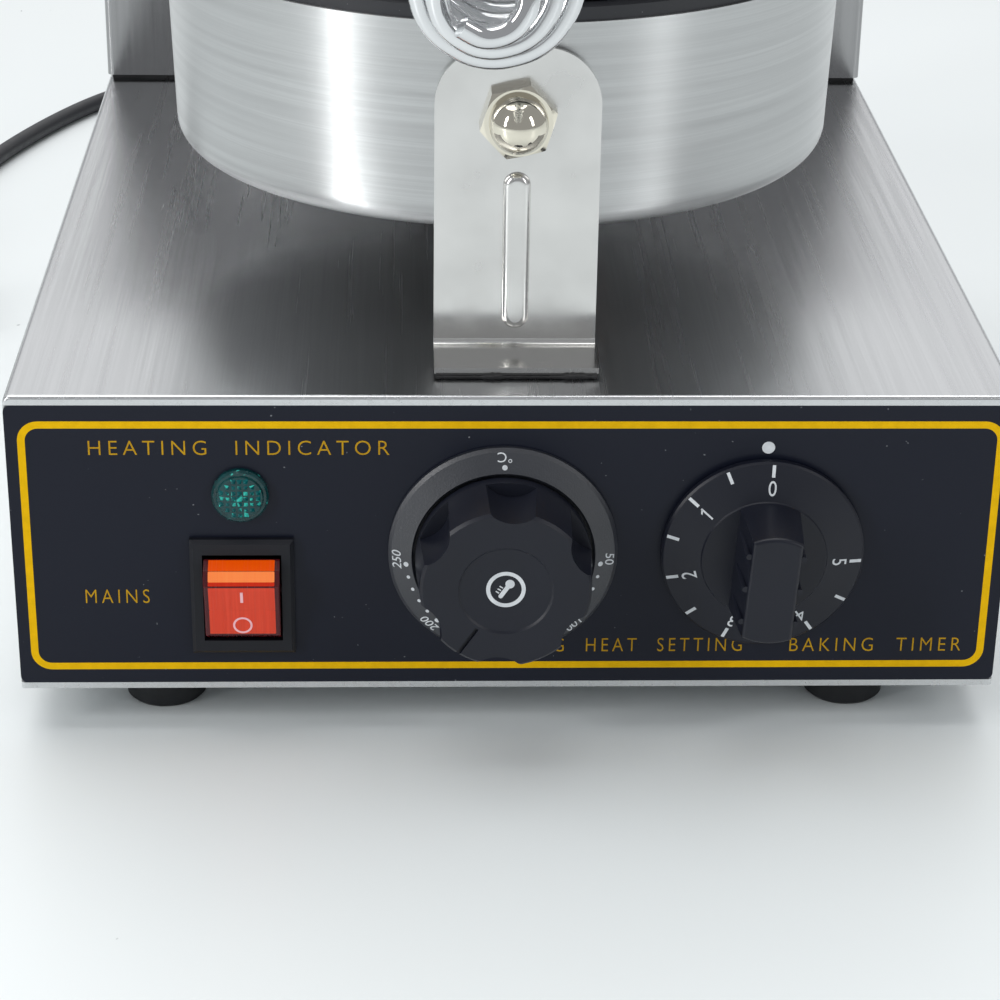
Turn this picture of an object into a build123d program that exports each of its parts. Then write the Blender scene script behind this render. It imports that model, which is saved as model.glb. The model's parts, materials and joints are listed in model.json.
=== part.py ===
from build123d import *
import math
import os

# Waffle cone maker, in millimetres. +Z is up, the front faces -Y, and the floor is z = 0.
# The origin is the middle of the machine's footprint, without the cord.

# Driving dimensions
base_width = 240.0
base_depth = 300.0
base_height = 78.0
foot_height = 12.0
sheet = 1.2
bend = 2.0
handle_reach = 74.6  # from the panel's face forward to the tip of the grip
rear_reach = 1.8  # cover screws behind the rear face

# Main levels and faces
half_width = base_width / 2
base_bottom = foot_height
deck = base_bottom + base_height
front = handle_reach - (handle_reach + base_depth + rear_reach) / 2
rear = front + base_depth

# Control panel
panel_thickness = 1.0
panel_lip = 2.3
panel_strip = 1.6
panel_back = front + panel_thickness + sheet
control_z = base_bottom + 37.7
switch_x = -65.0
switch_z = base_bottom + 25.9
switch_width = 25.0
switch_height = 30.7
switch_body_width = 21.8
switch_body_height = 27.8
rocker_width = 18.2
rocker_tilt = 12.0
rocker_pivot_y = front + 3.0
rocker_pin_radius = 1.5
lamp_z = base_bottom + 52.7
lamp_radius = 6.8
lens_radius = 5.4
thermostat_x = -2.2
thermostat_ring_radius = 27.65
thermostat_well_radius = 21.6
thermostat_knob_radius = 20.9
thermostat_knob_face = 21.7
thermostat_rest_angle = 214.0
timer_x = 60.4
timer_skirt_radius = 24.5
timer_disc_radius = 15.0
timer_knob_face = 22.6
timer_rest_angle = 3.5
shaft_radius = 3.0
shaft_play = 0.05
bushing_radius = 5.0

# Baking pans and plates
pan_radius = 87.7
pan_taper = 1.6
pan_corner = 5.7
pan_height = 52.2
pan_axis_y = front + 116.0
pan_floor = deck + 29.5
pan_rim = pan_floor + pan_height
plate_rim = 4.3
plate_gap = 0.4
parting = pan_rim + plate_rim + plate_gap / 2
lid_rim = parting + plate_gap / 2 + plate_rim
lid_top = lid_rim + pan_height
plate_radius = 86.9
plate_body_radius = 78.0
plate_body_depth = 12.0
plate_cook_radius = 80.0
groove_pitch = 12.0
groove_width = 2.6
groove_depth = 1.4
element_ring_radius = 55.0
element_radius = 4.0
fixing_circle = 68.0

# Front bracket
bracket_x = 0.8
bracket_width = 39.3
bracket_sheet = 1.5
bracket_face = front + 26.75
bracket_toe = front + 11.3
bracket_top = base_bottom + 154.5
bracket_corner = 14.0
sealant = 1.0
bolt_z = base_bottom + 137.5
bolt_radius = 5.0
nut_flats = 16.2
nut_turn = 13.0
nut_height = 4.2
dome_radius = 7.0
dome_middle = 5.4

# Column and hinge
column_front = front + 255.6
column_top = base_bottom + 160.0
column_gap = 1.2
hinge_y = front + 232.0
hinge_z = parting
hinge_radius = 5.0
hinge_bore = 3.5
hinge_ear_x = 45.0
hinge_ear_sheet = 3.0
lid_ear_x = 30.0
lid_arm_sheet = 3.0

# Handle
handle_z = base_bottom + 191.4
handle_lean = 5.7
handle_root_y = pan_axis_y - pan_radius
rod_radius = 5.0
wire_radius = 2.4
grip_start = 16.0
grip_full = 30.0
grip_taper = 82.5
grip_end = 101.5
grip_radius = 16.0
grip_tip_radius = 6.0
grip_pitch = 8.7
grip_end_angle = 222.0
points_per_turn = 8

# Power cord
cord_radius = 3.25
cord_floor = cord_radius
gland_x = -45.0
gland_z = 42.0
boot_length = 27.0
coil_x = -240.0
coil_y = 215.0
coil_outer = 48.0
coil_inner = 27.0
coil_height = 13.5
plug_x = coil_x + 44.5
plug_y = coil_y - 26.0


def block(low, high):
    """A block from its low corner to its high corner."""
    size = [b - a for a, b in zip(low, high)]
    middle = [(a + b) / 2 for a, b in zip(low, high)]
    return Pos(*middle) * Box(*size)


def rod(radius, start, end):
    """A round bar from one point to another."""
    line = Vector(*end) - Vector(*start)
    return extrude(Plane(origin=start, z_dir=line) * Circle(radius), amount=line.length)


def tube(outer, inner, start, end):
    """A round tube from one point to another."""
    return rod(outer, start, end) - rod(inner, start, end)


def hexagon(across_flats, start, end, turn=0.0):
    """A hexagonal bar along Y or Z from one point to another, turned about its own axis."""
    line = Vector(*end) - Vector(*start)
    outline = RegularPolygon(radius=across_flats / 2, side_count=6, major_radius=False)
    base = Plane(origin=start, x_dir=(1, 0, 0), z_dir=line)
    return extrude(base * Rot(0, 0, turn) * outline, amount=line.length)


def screw(head_radius, head_height, shank_radius, shank_length, seat, into):
    """A pan-head screw whose head sits at a point and whose shank runs along a direction."""
    way = Vector(*into).normalized()
    top = Vector(*seat) - way * head_height
    tip = Vector(*seat) + way * shank_length
    head = rod(head_radius, tuple(top), tuple(seat))
    rim = head.edges().filter_by(GeomType.CIRCLE).sort_by_distance(tuple(top))[0]
    head = fillet(rim, head_height * 0.45)
    return head + rod(shank_radius, tuple(seat), tuple(tip))


def about(shape, x, z, angle):
    """A shape turned clockwise, as seen from the front, about an axis along Y."""
    return Pos(x, 0, z) * Rot(0, angle, 0) * Pos(-x, 0, -z) * shape


def front_plane(x, y, z):
    """A drawing plane that faces the front: its X is the machine's X and its Y is up."""
    return Plane(origin=(x, y, z), x_dir=(1, 0, 0), z_dir=(0, -1, 0))


def ring_of(count, radius, first_angle):
    """Points spaced evenly on a circle about the pans' axis, as (x, y) pairs."""
    angles = [math.radians(first_angle + 360 * i / count) for i in range(count)]
    return [(radius * math.cos(a), pan_axis_y + radius * math.sin(a)) for a in angles]


def spin(points, x, y, z, axis):
    """A solid of revolution from (radius, height) points, about Z or about -Y."""
    profile = make_face(Polyline([*points, points[0]]))
    solid = revolve(Plane.XZ * profile, Axis.Z)
    turn = Rot(90, 0, 0) if axis == "front" else Rot(0, 0, 0)
    return Pos(x, y, z) * turn * solid


# Base


def panel_openings(low_y, high_y):
    """Cutters for the holes that the controls pass through."""
    switch = block(
        (switch_x - 11.1, low_y, switch_z - 14.1),
        (switch_x + 11.1, high_y, switch_z + 14.1),
    )
    lamp = rod(6.0, (switch_x, low_y, lamp_z), (switch_x, high_y, lamp_z))
    holes = switch + lamp
    for x in (thermostat_x, timer_x):
        holes += rod(bushing_radius + 0.2, (x, low_y, control_z), (x, high_y, control_z))
    for x in (thermostat_x - 14.0, thermostat_x + 14.0):
        holes += rod(2.1, (x, low_y, control_z), (x, high_y, control_z))
    return holes


def base_housing():
    """The folded stainless box: deck, sides, rear, front wall and turned-in bottom flanges."""
    shell = block((-half_width, front, base_bottom), (half_width, rear, deck))
    long_edges = shell.edges().filter_by(Axis.Y).group_by(Axis.Z)[-1]
    shell = fillet(long_edges, bend)
    cross_edges = shell.edges().filter_by(Axis.X).group_by(Axis.Z)[-1]
    shell = fillet(cross_edges, 1.0)
    recess = block(
        (-half_width - 1, front - 1, base_bottom + panel_strip),
        (half_width + 1, front + panel_thickness, deck - panel_lip),
    )
    inside = block(
        (-half_width + sheet, panel_back, base_bottom - 1),
        (half_width - sheet, rear - sheet, deck - sheet),
    )
    flange = block(
        (-half_width + sheet, panel_back, base_bottom),
        (half_width - sheet, rear - sheet, base_bottom + sheet),
    )
    flange -= block(
        (-half_width + 18, panel_back + 16, base_bottom - 1),
        (half_width - 18, rear - 17, deck),
    )
    shell = shell - recess - inside + flange
    shell -= panel_openings(front - 1, panel_back + 1)
    shell -= rod(7.4, (0, pan_axis_y, deck - 3), (0, pan_axis_y, deck + 1))
    shell -= rod(2.2, (20, pan_axis_y, deck - 3), (20, pan_axis_y, deck + 1))
    shell -= block((-60, column_front + 12, deck - 3), (60, rear - 12, deck + 1))
    shell -= rod(6.5, (gland_x, rear - 3, gland_z), (gland_x, rear + 1, gland_z))
    for x, y in deck_bolt_places() + bracket_stud_places() + rear_bracket_screw_places():
        shell -= rod(2.7, (x, y, deck - 3), (x, y, deck + 1))
    for x, y in cover_screw_places():
        shell -= rod(1.6, (x, y, base_bottom - 1), (x, y, base_bottom + 2))
    return shell


def deck_bolt_places():
    """The four bolts that hold the column on the deck."""
    return [(x, y) for x in (-95.0, 95.0) for y in (column_front + 9.0, rear - 10.0)]


def bracket_stud_places():
    """The two studs under the front bracket's foot."""
    return [(bracket_x - 10.0, front + 18.5), (bracket_x + 10.0, front + 18.5)]


def rear_bracket_screw_places():
    """The two screws through the rear bracket's foot."""
    return [(-14.0, rear_bracket_face() + 13.0), (14.0, rear_bracket_face() + 13.0)]


def rear_bracket_face():
    """The plane where the rear bracket touches the lower pan."""
    return pan_axis_y + pan_radius + 0.05


def cover_screw_places():
    """The eight screws round the bottom cover."""
    sides = [(x, y) for x in (-107.0, 107.0) for y in (front + 52, pan_axis_y, rear - 52)]
    ends = [(0.0, front + 10.5), (0.0, rear - 9.5)]
    return sides + ends


def foot_places():
    """The four feet, as (side, end, x, y)."""
    return [
        ("left" if x < 0 else "right", end, x, y)
        for x in (-86.3, 86.3)
        for end, y in (("front", front + 21.0), ("rear", rear - 21.0))
    ]


def bottom_cover():
    """The flat cover under the base, with rows of cooling slots."""
    cover = block((-111.5, front + 3, base_bottom - 1), (111.5, rear - 3, base_bottom))
    for row in range(4):
        for column in range(7):
            x = -54 + 18 * column
            y = pan_axis_y - 45 + 30 * row
            slot = Pos(x, y, base_bottom - 0.5) * extrude(SlotOverall(20, 4, rotation=90), 2, both=True)
            cover -= slot
    for x, y in cover_screw_places():
        cover -= rod(1.6, (x, y, base_bottom - 2), (x, y, base_bottom + 1))
    for _, _, x, y in foot_places():
        cover -= rod(2.1, (x, y, base_bottom - 2), (x, y, base_bottom + 1))
    return cover


def foot(x, y):
    """A round rubber foot, narrower at the floor, with a deep screw recess."""
    top = base_bottom - 1
    outline = [(2.1, 4.0), (2.1, top), (10.4, top), (10.0, 0.8), (9.2, 0.0), (5.0, 0.0), (5.0, 4.0)]
    return spin(outline, x, y, 0, "up")


def base_fasteners():
    """Screws of the bottom cover and of the feet."""
    under = base_bottom - 1
    parts = [screw(2.8, 1.6, 1.55, 6, (x, y, under), (0, 0, 1)) for x, y in cover_screw_places()]
    for _, _, x, y in foot_places():
        parts.append(screw(4.2, 2.4, 2.0, 12, (x, y, 4.0), (0, 0, 1)))
    return Compound(children=parts)


def control_panel():
    """The black front plate between the deck's lip and the bottom strip."""
    plate = block(
        (-half_width + 0.1, front, base_bottom + panel_strip),
        (half_width - 0.1, front + panel_thickness, deck - panel_lip),
    )
    upright = plate.edges().filter_by(Axis.Y)
    plate = fillet(upright, 1.8)
    return plate - panel_openings(front - 1, panel_back + 1)


# Controls


def lamp_lens():
    """The round lens of the indicator lamp, with a stepped face."""
    outline = [
        (0, 0),
        (lamp_radius, 0),
        (lamp_radius, 1.2),
        (lamp_radius - 0.5, 1.8),
        (lens_radius + 0.3, 1.8),
        (lens_radius, 2.4),
        (lens_radius * 0.6, 2.8),
        (0, 2.9),
    ]
    return spin(outline, switch_x, front, lamp_z, "front")


def lamp_body():
    """The lamp's barrel behind the panel, with its two pins."""
    barrel = rod(5.8, (switch_x, front, lamp_z), (switch_x, front + 22, lamp_z))
    for x in (switch_x - 2.5, switch_x + 2.5):
        barrel += block((x - 0.4, front + 21, lamp_z - 1.4), (x + 0.4, front + 29, lamp_z + 1.4))
    return barrel


def panel_nuts():
    """The nut of the lamp and the nut of the timer's bushing."""
    lamp = hexagon(15, (switch_x, panel_back, lamp_z), (switch_x, panel_back + 3, lamp_z))
    lamp -= rod(5.8, (switch_x, front, lamp_z), (switch_x, front + 22, lamp_z))
    timer = hexagon(14, (timer_x, front - 2.4, control_z), (timer_x, front, control_z))
    timer -= rod(bushing_radius, (timer_x, front - 3, control_z), (timer_x, front + 1, control_z))
    return Compound(children=[lamp, timer])


def switch_housing():
    """The rocker switch's bezel and body, open where the rocker tilts."""
    bezel = block(
        (switch_x - switch_width / 2, front - 2.2, switch_z - switch_height / 2),
        (switch_x + switch_width / 2, front, switch_z + switch_height / 2),
    )
    bezel = chamfer(bezel.faces().sort_by(Axis.Y)[0].edges(), 0.9)
    body = block(
        (switch_x - switch_body_width / 2, front - 0.5, switch_z - switch_body_height / 2),
        (switch_x + switch_body_width / 2, front + 21, switch_z + switch_body_height / 2),
    )
    well = block(
        (switch_x - 9.5, front - 3, switch_z - 11.6),
        (switch_x + 9.5, front + 12, switch_z + 11.6),
    )
    pins = rod(
        rocker_pin_radius + 0.06,
        (switch_x - 10.4, rocker_pivot_y, switch_z),
        (switch_x + 10.4, rocker_pivot_y, switch_z),
    )
    housing = bezel + body - well - pins
    for z in (switch_z - 8, switch_z + 8):
        for x in (switch_x - 5, switch_x + 5):
            housing += block((x - 0.4, front + 20, z - 3.1), (x + 0.4, front + 29, z + 3.1))
    return housing


def rocker_button():
    """The rocker, shallow-dished with sloped ends, tilted to off with its upper end out."""
    outline = Polyline(
        [
            (-8.8, 7.5),
            (-8.3, 0.0),
            (-8.8, -7.5),
            (-6.1, -10.3),
            (-2.6, -11.2),
            (2.5, -7.0),
            (2.5, 7.0),
            (-2.6, 11.2),
            (-6.1, 10.3),
            (-8.8, 7.5),
        ]
    )
    button = extrude(Plane.YZ * make_face(outline), amount=rocker_width / 2, both=True)
    button = fillet(button.faces().sort_by(Axis.Y)[:2].edges(), 0.5)
    button += rod(rocker_pin_radius, (-10.2, 0, 0), (10.2, 0, 0))
    return Pos(switch_x, rocker_pivot_y, switch_z) * Rot(rocker_tilt, 0, 0) * button


def thermostat_bezel():
    """The dished ring round the thermostat knob, with its thin floor."""
    outline = [
        (7.0, 0.0),
        (thermostat_ring_radius, 0.0),
        (thermostat_ring_radius, 1.2),
        (thermostat_ring_radius - 0.8, 2.0),
        (thermostat_well_radius + 0.5, 4.0),
        (thermostat_well_radius, 3.6),
        (thermostat_well_radius, 1.0),
        (7.0, 1.0),
    ]
    ring = spin(outline, thermostat_x, front, control_z, "front")
    for x in (thermostat_x - 14.0, thermostat_x + 14.0):
        ring -= rod(2.1, (x, front - 2, control_z), (x, front + 1, control_z))
    return ring


def thermostat_body():
    """The capillary thermostat behind the panel, with its bushing."""
    x = thermostat_x
    body = block((x - 21, panel_back, control_z - 16), (x + 21, panel_back + 28, control_z + 16))
    body = fillet(body.edges().filter_by(Axis.Y), 3)
    body += rod(bushing_radius, (x, front - 1, control_z), (x, panel_back + 1, control_z))
    body -= rod(shaft_radius + shaft_play, (x, front - 2, control_z), (x, front + 20, control_z))
    for side in (-14.0, 14.0):
        body -= rod(1.7, (x + side, front, control_z), (x + side, front + 11, control_z))
    return body


def thermostat_screws():
    """The two screws that hold the bezel, the panel and the thermostat together."""
    seats = [(thermostat_x + side, front - 1, control_z) for side in (-14.0, 14.0)]
    return Compound(children=[screw(3.2, 1.8, 1.65, 9, seat, (0, 1, 0)) for seat in seats])


def d_shaft(x, back, tip, play=0.0):
    """A control shaft along Y with a flat on its outer end."""
    radius = shaft_radius + play
    shaft = rod(radius, (x, tip, control_z), (x, back, control_z))
    return shaft - block((x - 4, tip - 1, control_z + 1.6 + play), (x + 4, front - 4.0, control_z + 4))


def thermostat_shaft():
    """The thermostat's spindle, turned with its knob."""
    shaft = d_shaft(thermostat_x, front + 19, front - 14)
    return about(shaft, thermostat_x, control_z, thermostat_rest_angle)


def thermostat_knob():
    """The knob with six finger hollows, a dished cap and a pointer groove."""
    face = thermostat_knob_face
    outline = [
        (0, 4.2),
        (thermostat_knob_radius + 0.3, 4.2),
        (thermostat_knob_radius + 0.3, 6.4),
        (thermostat_knob_radius - 0.7, face - 0.7),
        (thermostat_knob_radius - 1.4, face),
        (11.3, face),
        (10.8, face - 0.4),
        (7.5, face - 0.8),
        (3.5, face - 1.1),
        (0, face - 1.2),
    ]
    knob = spin(outline, thermostat_x, front, control_z, "front")
    for index in range(6):
        angle = math.radians(60 * index)
        x = thermostat_x + 25.6 * math.cos(angle)
        z = control_z + 25.6 * math.sin(angle)
        knob -= rod(8.0, (x, front - face - 3, z), (x, front - 7.0, z))
    groove = block(
        (thermostat_x - 0.5, front - face - 2, control_z + 12.0),
        (thermostat_x + 0.5, front - face + 1.0, control_z + 22),
    )
    knob = knob - groove - d_shaft(thermostat_x, front, front - 14)
    return about(knob, thermostat_x, control_z, thermostat_rest_angle)


def thermostat_bulb():
    """The sensing bulb under the lower plate and its capillary down to the thermostat."""
    level = plate_underside() - 2.7
    low = base_bottom + 46
    bulb = rod(2.6, (20, pan_axis_y - 25, level), (20, pan_axis_y + 25, level))
    route = [
        (10, panel_back + 28, low),
        (20, pan_axis_y - 40, low),
        (20, pan_axis_y, low),
        (20, pan_axis_y, level),
    ]
    return bulb + wire(route, 1.1)


def timer_body():
    """The clockwork timer behind the panel, with its threaded bushing."""
    x = timer_x
    body = rod(22, (x, panel_back, control_z), (x, panel_back + 26, control_z))
    body += rod(bushing_radius, (x, front - 3.0, control_z), (x, panel_back + 1, control_z))
    body -= rod(shaft_radius + shaft_play, (x, front - 4, control_z), (x, front + 20, control_z))
    for side in (-8.0, 8.0):
        body += block(
            (x + side - 3, panel_back + 25, control_z - 0.4),
            (x + side + 3, panel_back + 34, control_z + 0.4),
        )
    return body


def timer_shaft():
    """The timer's spindle, turned with its knob."""
    return about(d_shaft(timer_x, front + 19, front - 14), timer_x, control_z, timer_rest_angle)


def timer_knob():
    """The skirted knob with a tapered grip bar."""
    outline = [
        (9.5, 0.8),
        (timer_skirt_radius, 0.8),
        (timer_skirt_radius, 2.4),
        (timer_skirt_radius - 0.5, 2.9),
        (timer_disc_radius + 0.3, 5.2),
        (timer_disc_radius, 5.6),
        (0, 5.6),
        (0, 3.6),
        (9.5, 3.6),
    ]
    knob = spin(outline, timer_x, front, control_z, "front")
    foot_outline = Rectangle(14.4, 40) & Circle(15.1)
    bar = extrude(foot_outline, amount=timer_knob_face - 5.0, taper=4.2)
    bar = fillet(bar.faces().sort_by(Axis.Z)[-1].edges(), 1.0)
    knob += Pos(timer_x, front - 5.0, control_z) * Rot(90, 0, 0) * bar
    for side in (-1, 1):
        for z in (-8.5, 0.0, 8.5):
            x = timer_x + side * 6.4
            tip = front - timer_knob_face + 0.8
            knob += rod(0.75, (x, front - 9, control_z + z), (x, tip, control_z + z))
    knob -= d_shaft(timer_x, front, front - 14)
    return about(knob, timer_x, control_z, timer_rest_angle)


def terminal_block():
    """The mains terminal block on the bottom cover."""
    y = rear - 70.0
    body = block((gland_x - 25, y - 9, base_bottom), (gland_x + 25, y + 9, base_bottom + 15))
    for index in range(5):
        x = gland_x - 20 + 10 * index
        body -= rod(2.2, (x, y, base_bottom + 6), (x, y, base_bottom + 16))
        body -= rod(1.9, (x, y - 10, base_bottom + 6), (x, y + 10, base_bottom + 6))
    return body


def corner_radii(points):
    """The radius of each corner: 0.45 of its shorter run over the tangent of half its turn."""
    radii = []
    for before, here, after in zip(points, points[1:], points[2:]):
        one = Vector(*here) - Vector(*before)
        two = Vector(*after) - Vector(*here)
        turn = math.radians(one.get_angle(two))
        radii.append(0.45 * min(one.length, two.length) / math.tan(turn / 2))
    return radii


def wire(points, radius):
    """An insulated wire on straight runs with rounded corners."""
    path = FilletPolyline(points, radius=10)
    start = Plane(origin=path @ 0, z_dir=path % 0)
    return sweep(start * Circle(radius), path=path)


def wiring_loom():
    """Wires from the terminal block to the switch, the lamp, the timer and the heaters."""
    y = rear - 79.5
    low = base_bottom + 6
    ends = [
        (gland_x - 20, switch_x - 5, front + 30, switch_z - 8),
        (gland_x - 10, switch_x + 5, front + 30, switch_z + 8),
        (gland_x, switch_x + 2.5, front + 30, lamp_z),
        (gland_x + 10, timer_x - 8, panel_back + 35, control_z),
        (gland_x + 20, timer_x + 8, panel_back + 35, control_z),
    ]
    wires = []
    for index, (x0, x1, y1, z1) in enumerate(ends):
        level = base_bottom + 20 + 4 * index
        bend_y = y - 24 - 6 * index
        turn_y = y1 + 26 + 6 * index
        points = [
            (x0, y, low),
            (x0, bend_y, low),
            (x0, bend_y, level) if abs(level - low) > 20.5 else (x0, bend_y - 22, level),
            (x1, turn_y, level),
            (x1, y1, z1),
        ]
        wires.append(wire(points, 1.2))
    return Compound(children=wires)


# Front bracket


def bracket_profile(face, toe, top, thickness):
    """A narrow L-shaped strip, its upright at y = 0 and its foot towards the front."""
    low = deck + sealant
    inner = 1.5
    outer = inner + thickness
    upright = block((0, 0, 0), (1, thickness, top - low))
    length = abs(face + thickness - toe)
    leg = block((0, thickness - length, 0), (1, thickness, thickness))
    shape = upright + leg
    heel = shape.edges().filter_by(Axis.X).sort_by_distance((0.5, thickness, 0))[0]
    shape = fillet(heel, outer)
    throat = shape.edges().filter_by(Axis.X).sort_by_distance((0.5, 0, thickness))[0]
    return fillet(throat, inner)


def front_bracket():
    """The polished bracket that holds the lower pan at the front, with its pressed rib."""
    low = deck + sealant
    strip = bracket_profile(bracket_face, bracket_toe, bracket_top, bracket_sheet)
    side = strip.faces().sort_by(Axis.X)[0]
    strip = extrude(side, amount=-bracket_width)
    strip = Pos(bracket_x - bracket_width / 2 - side.center().X, bracket_face, low) * strip
    height = bracket_top - low
    shape = RectangleRounded(bracket_width, height + 40, bracket_corner)
    trim = front_plane(bracket_x, bracket_face, bracket_top - height / 2 - 20) * shape
    strip &= extrude(trim, amount=40, both=True)
    rib = front_plane(bracket_x, bracket_face + 0.4, base_bottom + 104.5)
    rib_outline = rib * SlotOverall(39.4, 6.6, rotation=90)
    ridge = extrude(rib_outline, amount=2.3)
    ridge = fillet(ridge.faces().sort_by(Axis.Y)[0].edges(), 1.9)
    bracket = strip + ridge
    ahead, behind = bracket_face - 5, bracket_face + 5
    return bracket - rod(bolt_radius + 0.2, (bracket_x, ahead, bolt_z), (bracket_x, behind, bolt_z))


def bracket_sealant():
    """The black sealing strip squeezed out under the bracket's foot."""
    strip = block(
        (bracket_x - bracket_width / 2 + 0.4, bracket_toe - 0.6, deck),
        (bracket_x + bracket_width / 2 - 0.4, bracket_face + 1.0, deck + sealant),
    )
    for x, y in bracket_stud_places():
        strip -= rod(2.5, (x, y, deck - 1), (x, y, deck + 2))
    return strip


def front_bolt():
    """The bolt from inside the lower pan through the front bracket."""
    x = bracket_x
    seat = pan_axis_y - pan_radius + 3.2
    head = hexagon(16, (x, seat, bolt_z), (x, seat + 6.2, bolt_z))
    return head + rod(bolt_radius, (x, bracket_face - 7.5, bolt_z), (x, seat + 1, bolt_z))


def front_acorn_nut():
    """The nickel-plated acorn nut on the front bracket, its hexagon chamfered towards the dome."""
    x = bracket_x
    face = bracket_face
    nut = hexagon(nut_flats, (x, face, bolt_z), (x, face - nut_height, bolt_z), turn=nut_turn)
    shoulder = nut_height - 1.8
    chamfer_outline = [(0, 0), (12, 0), (12, shoulder), (nut_flats / 2, nut_height), (0, nut_height)]
    nut &= spin(chamfer_outline, x, face, bolt_z, "front")
    nut += Pos(x, face - dome_middle, bolt_z) * Sphere(dome_radius)
    nut += rod(dome_radius, (x, face - dome_middle, bolt_z), (x, face - 1, bolt_z))
    nut -= block((x - 10, face, bolt_z - 10), (x + 10, face + 10, bolt_z + 10))
    return nut - rod(bolt_radius, (x, face - 7.5, bolt_z), (x, face + 1, bolt_z))


def bracket_fasteners():
    """Studs and nuts of the front bracket, bolt and screws of the rear bracket."""
    parts = []
    for x, y in bracket_stud_places():
        parts.append(rod(2.5, (x, y, deck - 9), (x, y, deck + sealant)))
        nut = hexagon(8, (x, y, deck - sheet - 4), (x, y, deck - sheet))
        parts.append(nut - rod(2.5, (x, y, deck - 9), (x, y, deck)))
    for x, y in rear_bracket_screw_places():
        parts.append(screw(4.2, 2.4, 2.5, 8, (x, y, deck + sealant + bracket_sheet), (0, 0, -1)))
    face = rear_bracket_face()
    bolt = rod(4.0, (0, face - 6, bolt_z - 8), (0, face + 12, bolt_z - 8))
    nut = hexagon(13, (0, face + bracket_sheet, bolt_z - 8), (0, face + bracket_sheet + 6.5, bolt_z - 8))
    head = hexagon(13, (0, face - 8, bolt_z - 8), (0, face - 3, bolt_z - 8))
    parts.append(bolt + nut + head)
    return Compound(children=parts)


def rear_bracket():
    """The plain L bracket that holds the lower pan at the rear."""
    face = rear_bracket_face()
    strip = bracket_profile(face, face + 22, base_bottom + 152, bracket_sheet)
    side = strip.faces().sort_by(Axis.X)[0]
    strip = extrude(side, amount=-50)
    strip = Pos(-25 - side.center().X, 0, 0) * strip
    low = deck + sealant
    strip = Pos(0, face + bracket_sheet, low) * mirror(strip, Plane.XZ)
    strip -= rod(4.2, (0, face - 1, bolt_z - 8), (0, face + 4, bolt_z - 8))
    for x, y in rear_bracket_screw_places():
        strip -= rod(2.7, (x, y, low - 1), (x, y, low + 3))
    return strip


# Pans and plates


def pan_shell():
    """A drawn stainless pan standing on z = 0, its axis at the origin."""
    foot_radius = pan_radius - pan_taper
    inner = pan_corner - sheet
    outer_start = (foot_radius - pan_corner, 0)
    outer_end = (foot_radius, pan_corner)
    inner_start = (foot_radius - sheet, pan_corner)
    inner_end = (foot_radius - pan_corner, sheet)
    middle = (foot_radius - pan_corner, pan_corner)
    outer_arc = CenterArc(middle, pan_corner, -90, 90)
    inner_arc = CenterArc(middle, inner, 0, -90)
    wall = Polyline([outer_end, (pan_radius, pan_height), (pan_radius - sheet, pan_height), inner_start])
    floor = Polyline([inner_end, (0, sheet), (0, 0), outer_start])
    profile = make_face([outer_arc, wall, inner_arc, floor])
    return revolve(Plane.XZ * profile, Axis.Z)


def lower_pan():
    """The lower pan, with holes for its bolts, leads and plate screws."""
    pan = Pos(0, pan_axis_y, pan_floor) * pan_shell()
    pan -= rod(bolt_radius + 0.2, (bracket_x, pan_axis_y - 95, bolt_z), (bracket_x, pan_axis_y - 75, bolt_z))
    pan -= rod(4.2, (0, pan_axis_y + 75, bolt_z - 8), (0, pan_axis_y + 95, bolt_z - 8))
    pan -= rod(5.2, (0, pan_axis_y, pan_floor - 1), (0, pan_axis_y, pan_floor + 3))
    pan -= rod(1.6, (20, pan_axis_y, pan_floor - 1), (20, pan_axis_y, pan_floor + 3))
    for x, y in ring_of(3, fixing_circle, 90):
        pan -= rod(2.7, (x, y, pan_floor - 1), (x, y, pan_floor + 3))
    return pan


def upper_pan():
    """The lid's pan, upside down, with holes for the handle, the hinge arm and the plate screws."""
    pan = Pos(0, pan_axis_y, lid_top) * Rot(180, 0, 0) * pan_shell()
    pan -= rod(3.2, (0, pan_axis_y - 95, handle_z), (0, pan_axis_y - 75, handle_z))
    for z in lid_arm_screw_levels():
        pan -= rod(3.2, (0, pan_axis_y + 75, z), (0, pan_axis_y + 95, z))
    for x, y in ring_of(3, fixing_circle, 90):
        pan -= rod(2.7, (x, y, lid_top - 3), (x, y, lid_top + 1))
    return pan


def lid_arm_screw_levels():
    """Heights of the two screws between the hinge arm and the lid."""
    return (base_bottom + 186.0, base_bottom + 203.0)


def plate_underside():
    """The height of the lower plate's underside, inside the pan."""
    return pan_rim - plate_body_depth


def baking_plate():
    """A cast plate with its baking face up at z = 0 and a rim that covers the pan's edge."""
    outline = [
        (0, 0),
        (plate_cook_radius, 0),
        (plate_cook_radius + 0.6, 0),
        (plate_radius - 1.0, 0),
        (plate_radius, -1.0),
        (plate_radius, -plate_rim),
        (plate_body_radius + 6, -plate_rim),
        (plate_body_radius + 6, -plate_rim - 3),
        (plate_body_radius, -plate_rim - 3),
        (plate_body_radius, -plate_rim - plate_body_depth),
        (0, -plate_rim - plate_body_depth),
    ]
    plate = spin(outline, 0, 0, 0, "up")
    plate -= rod(plate_cook_radius, (0, 0, -1.2), (0, 0, 1))
    floor = -1.2 - groove_depth
    bars = []
    for angle in (45, 135):
        for index in range(-6, 7):
            offset = groove_pitch * index
            half = math.sqrt((plate_cook_radius - 3.0) ** 2 - offset**2)
            bar = block((-half, offset - groove_width / 2, floor), (half, offset + groove_width / 2, 0))
            bars.append(Rot(0, 0, angle) * bar)
    return plate - bars


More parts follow.
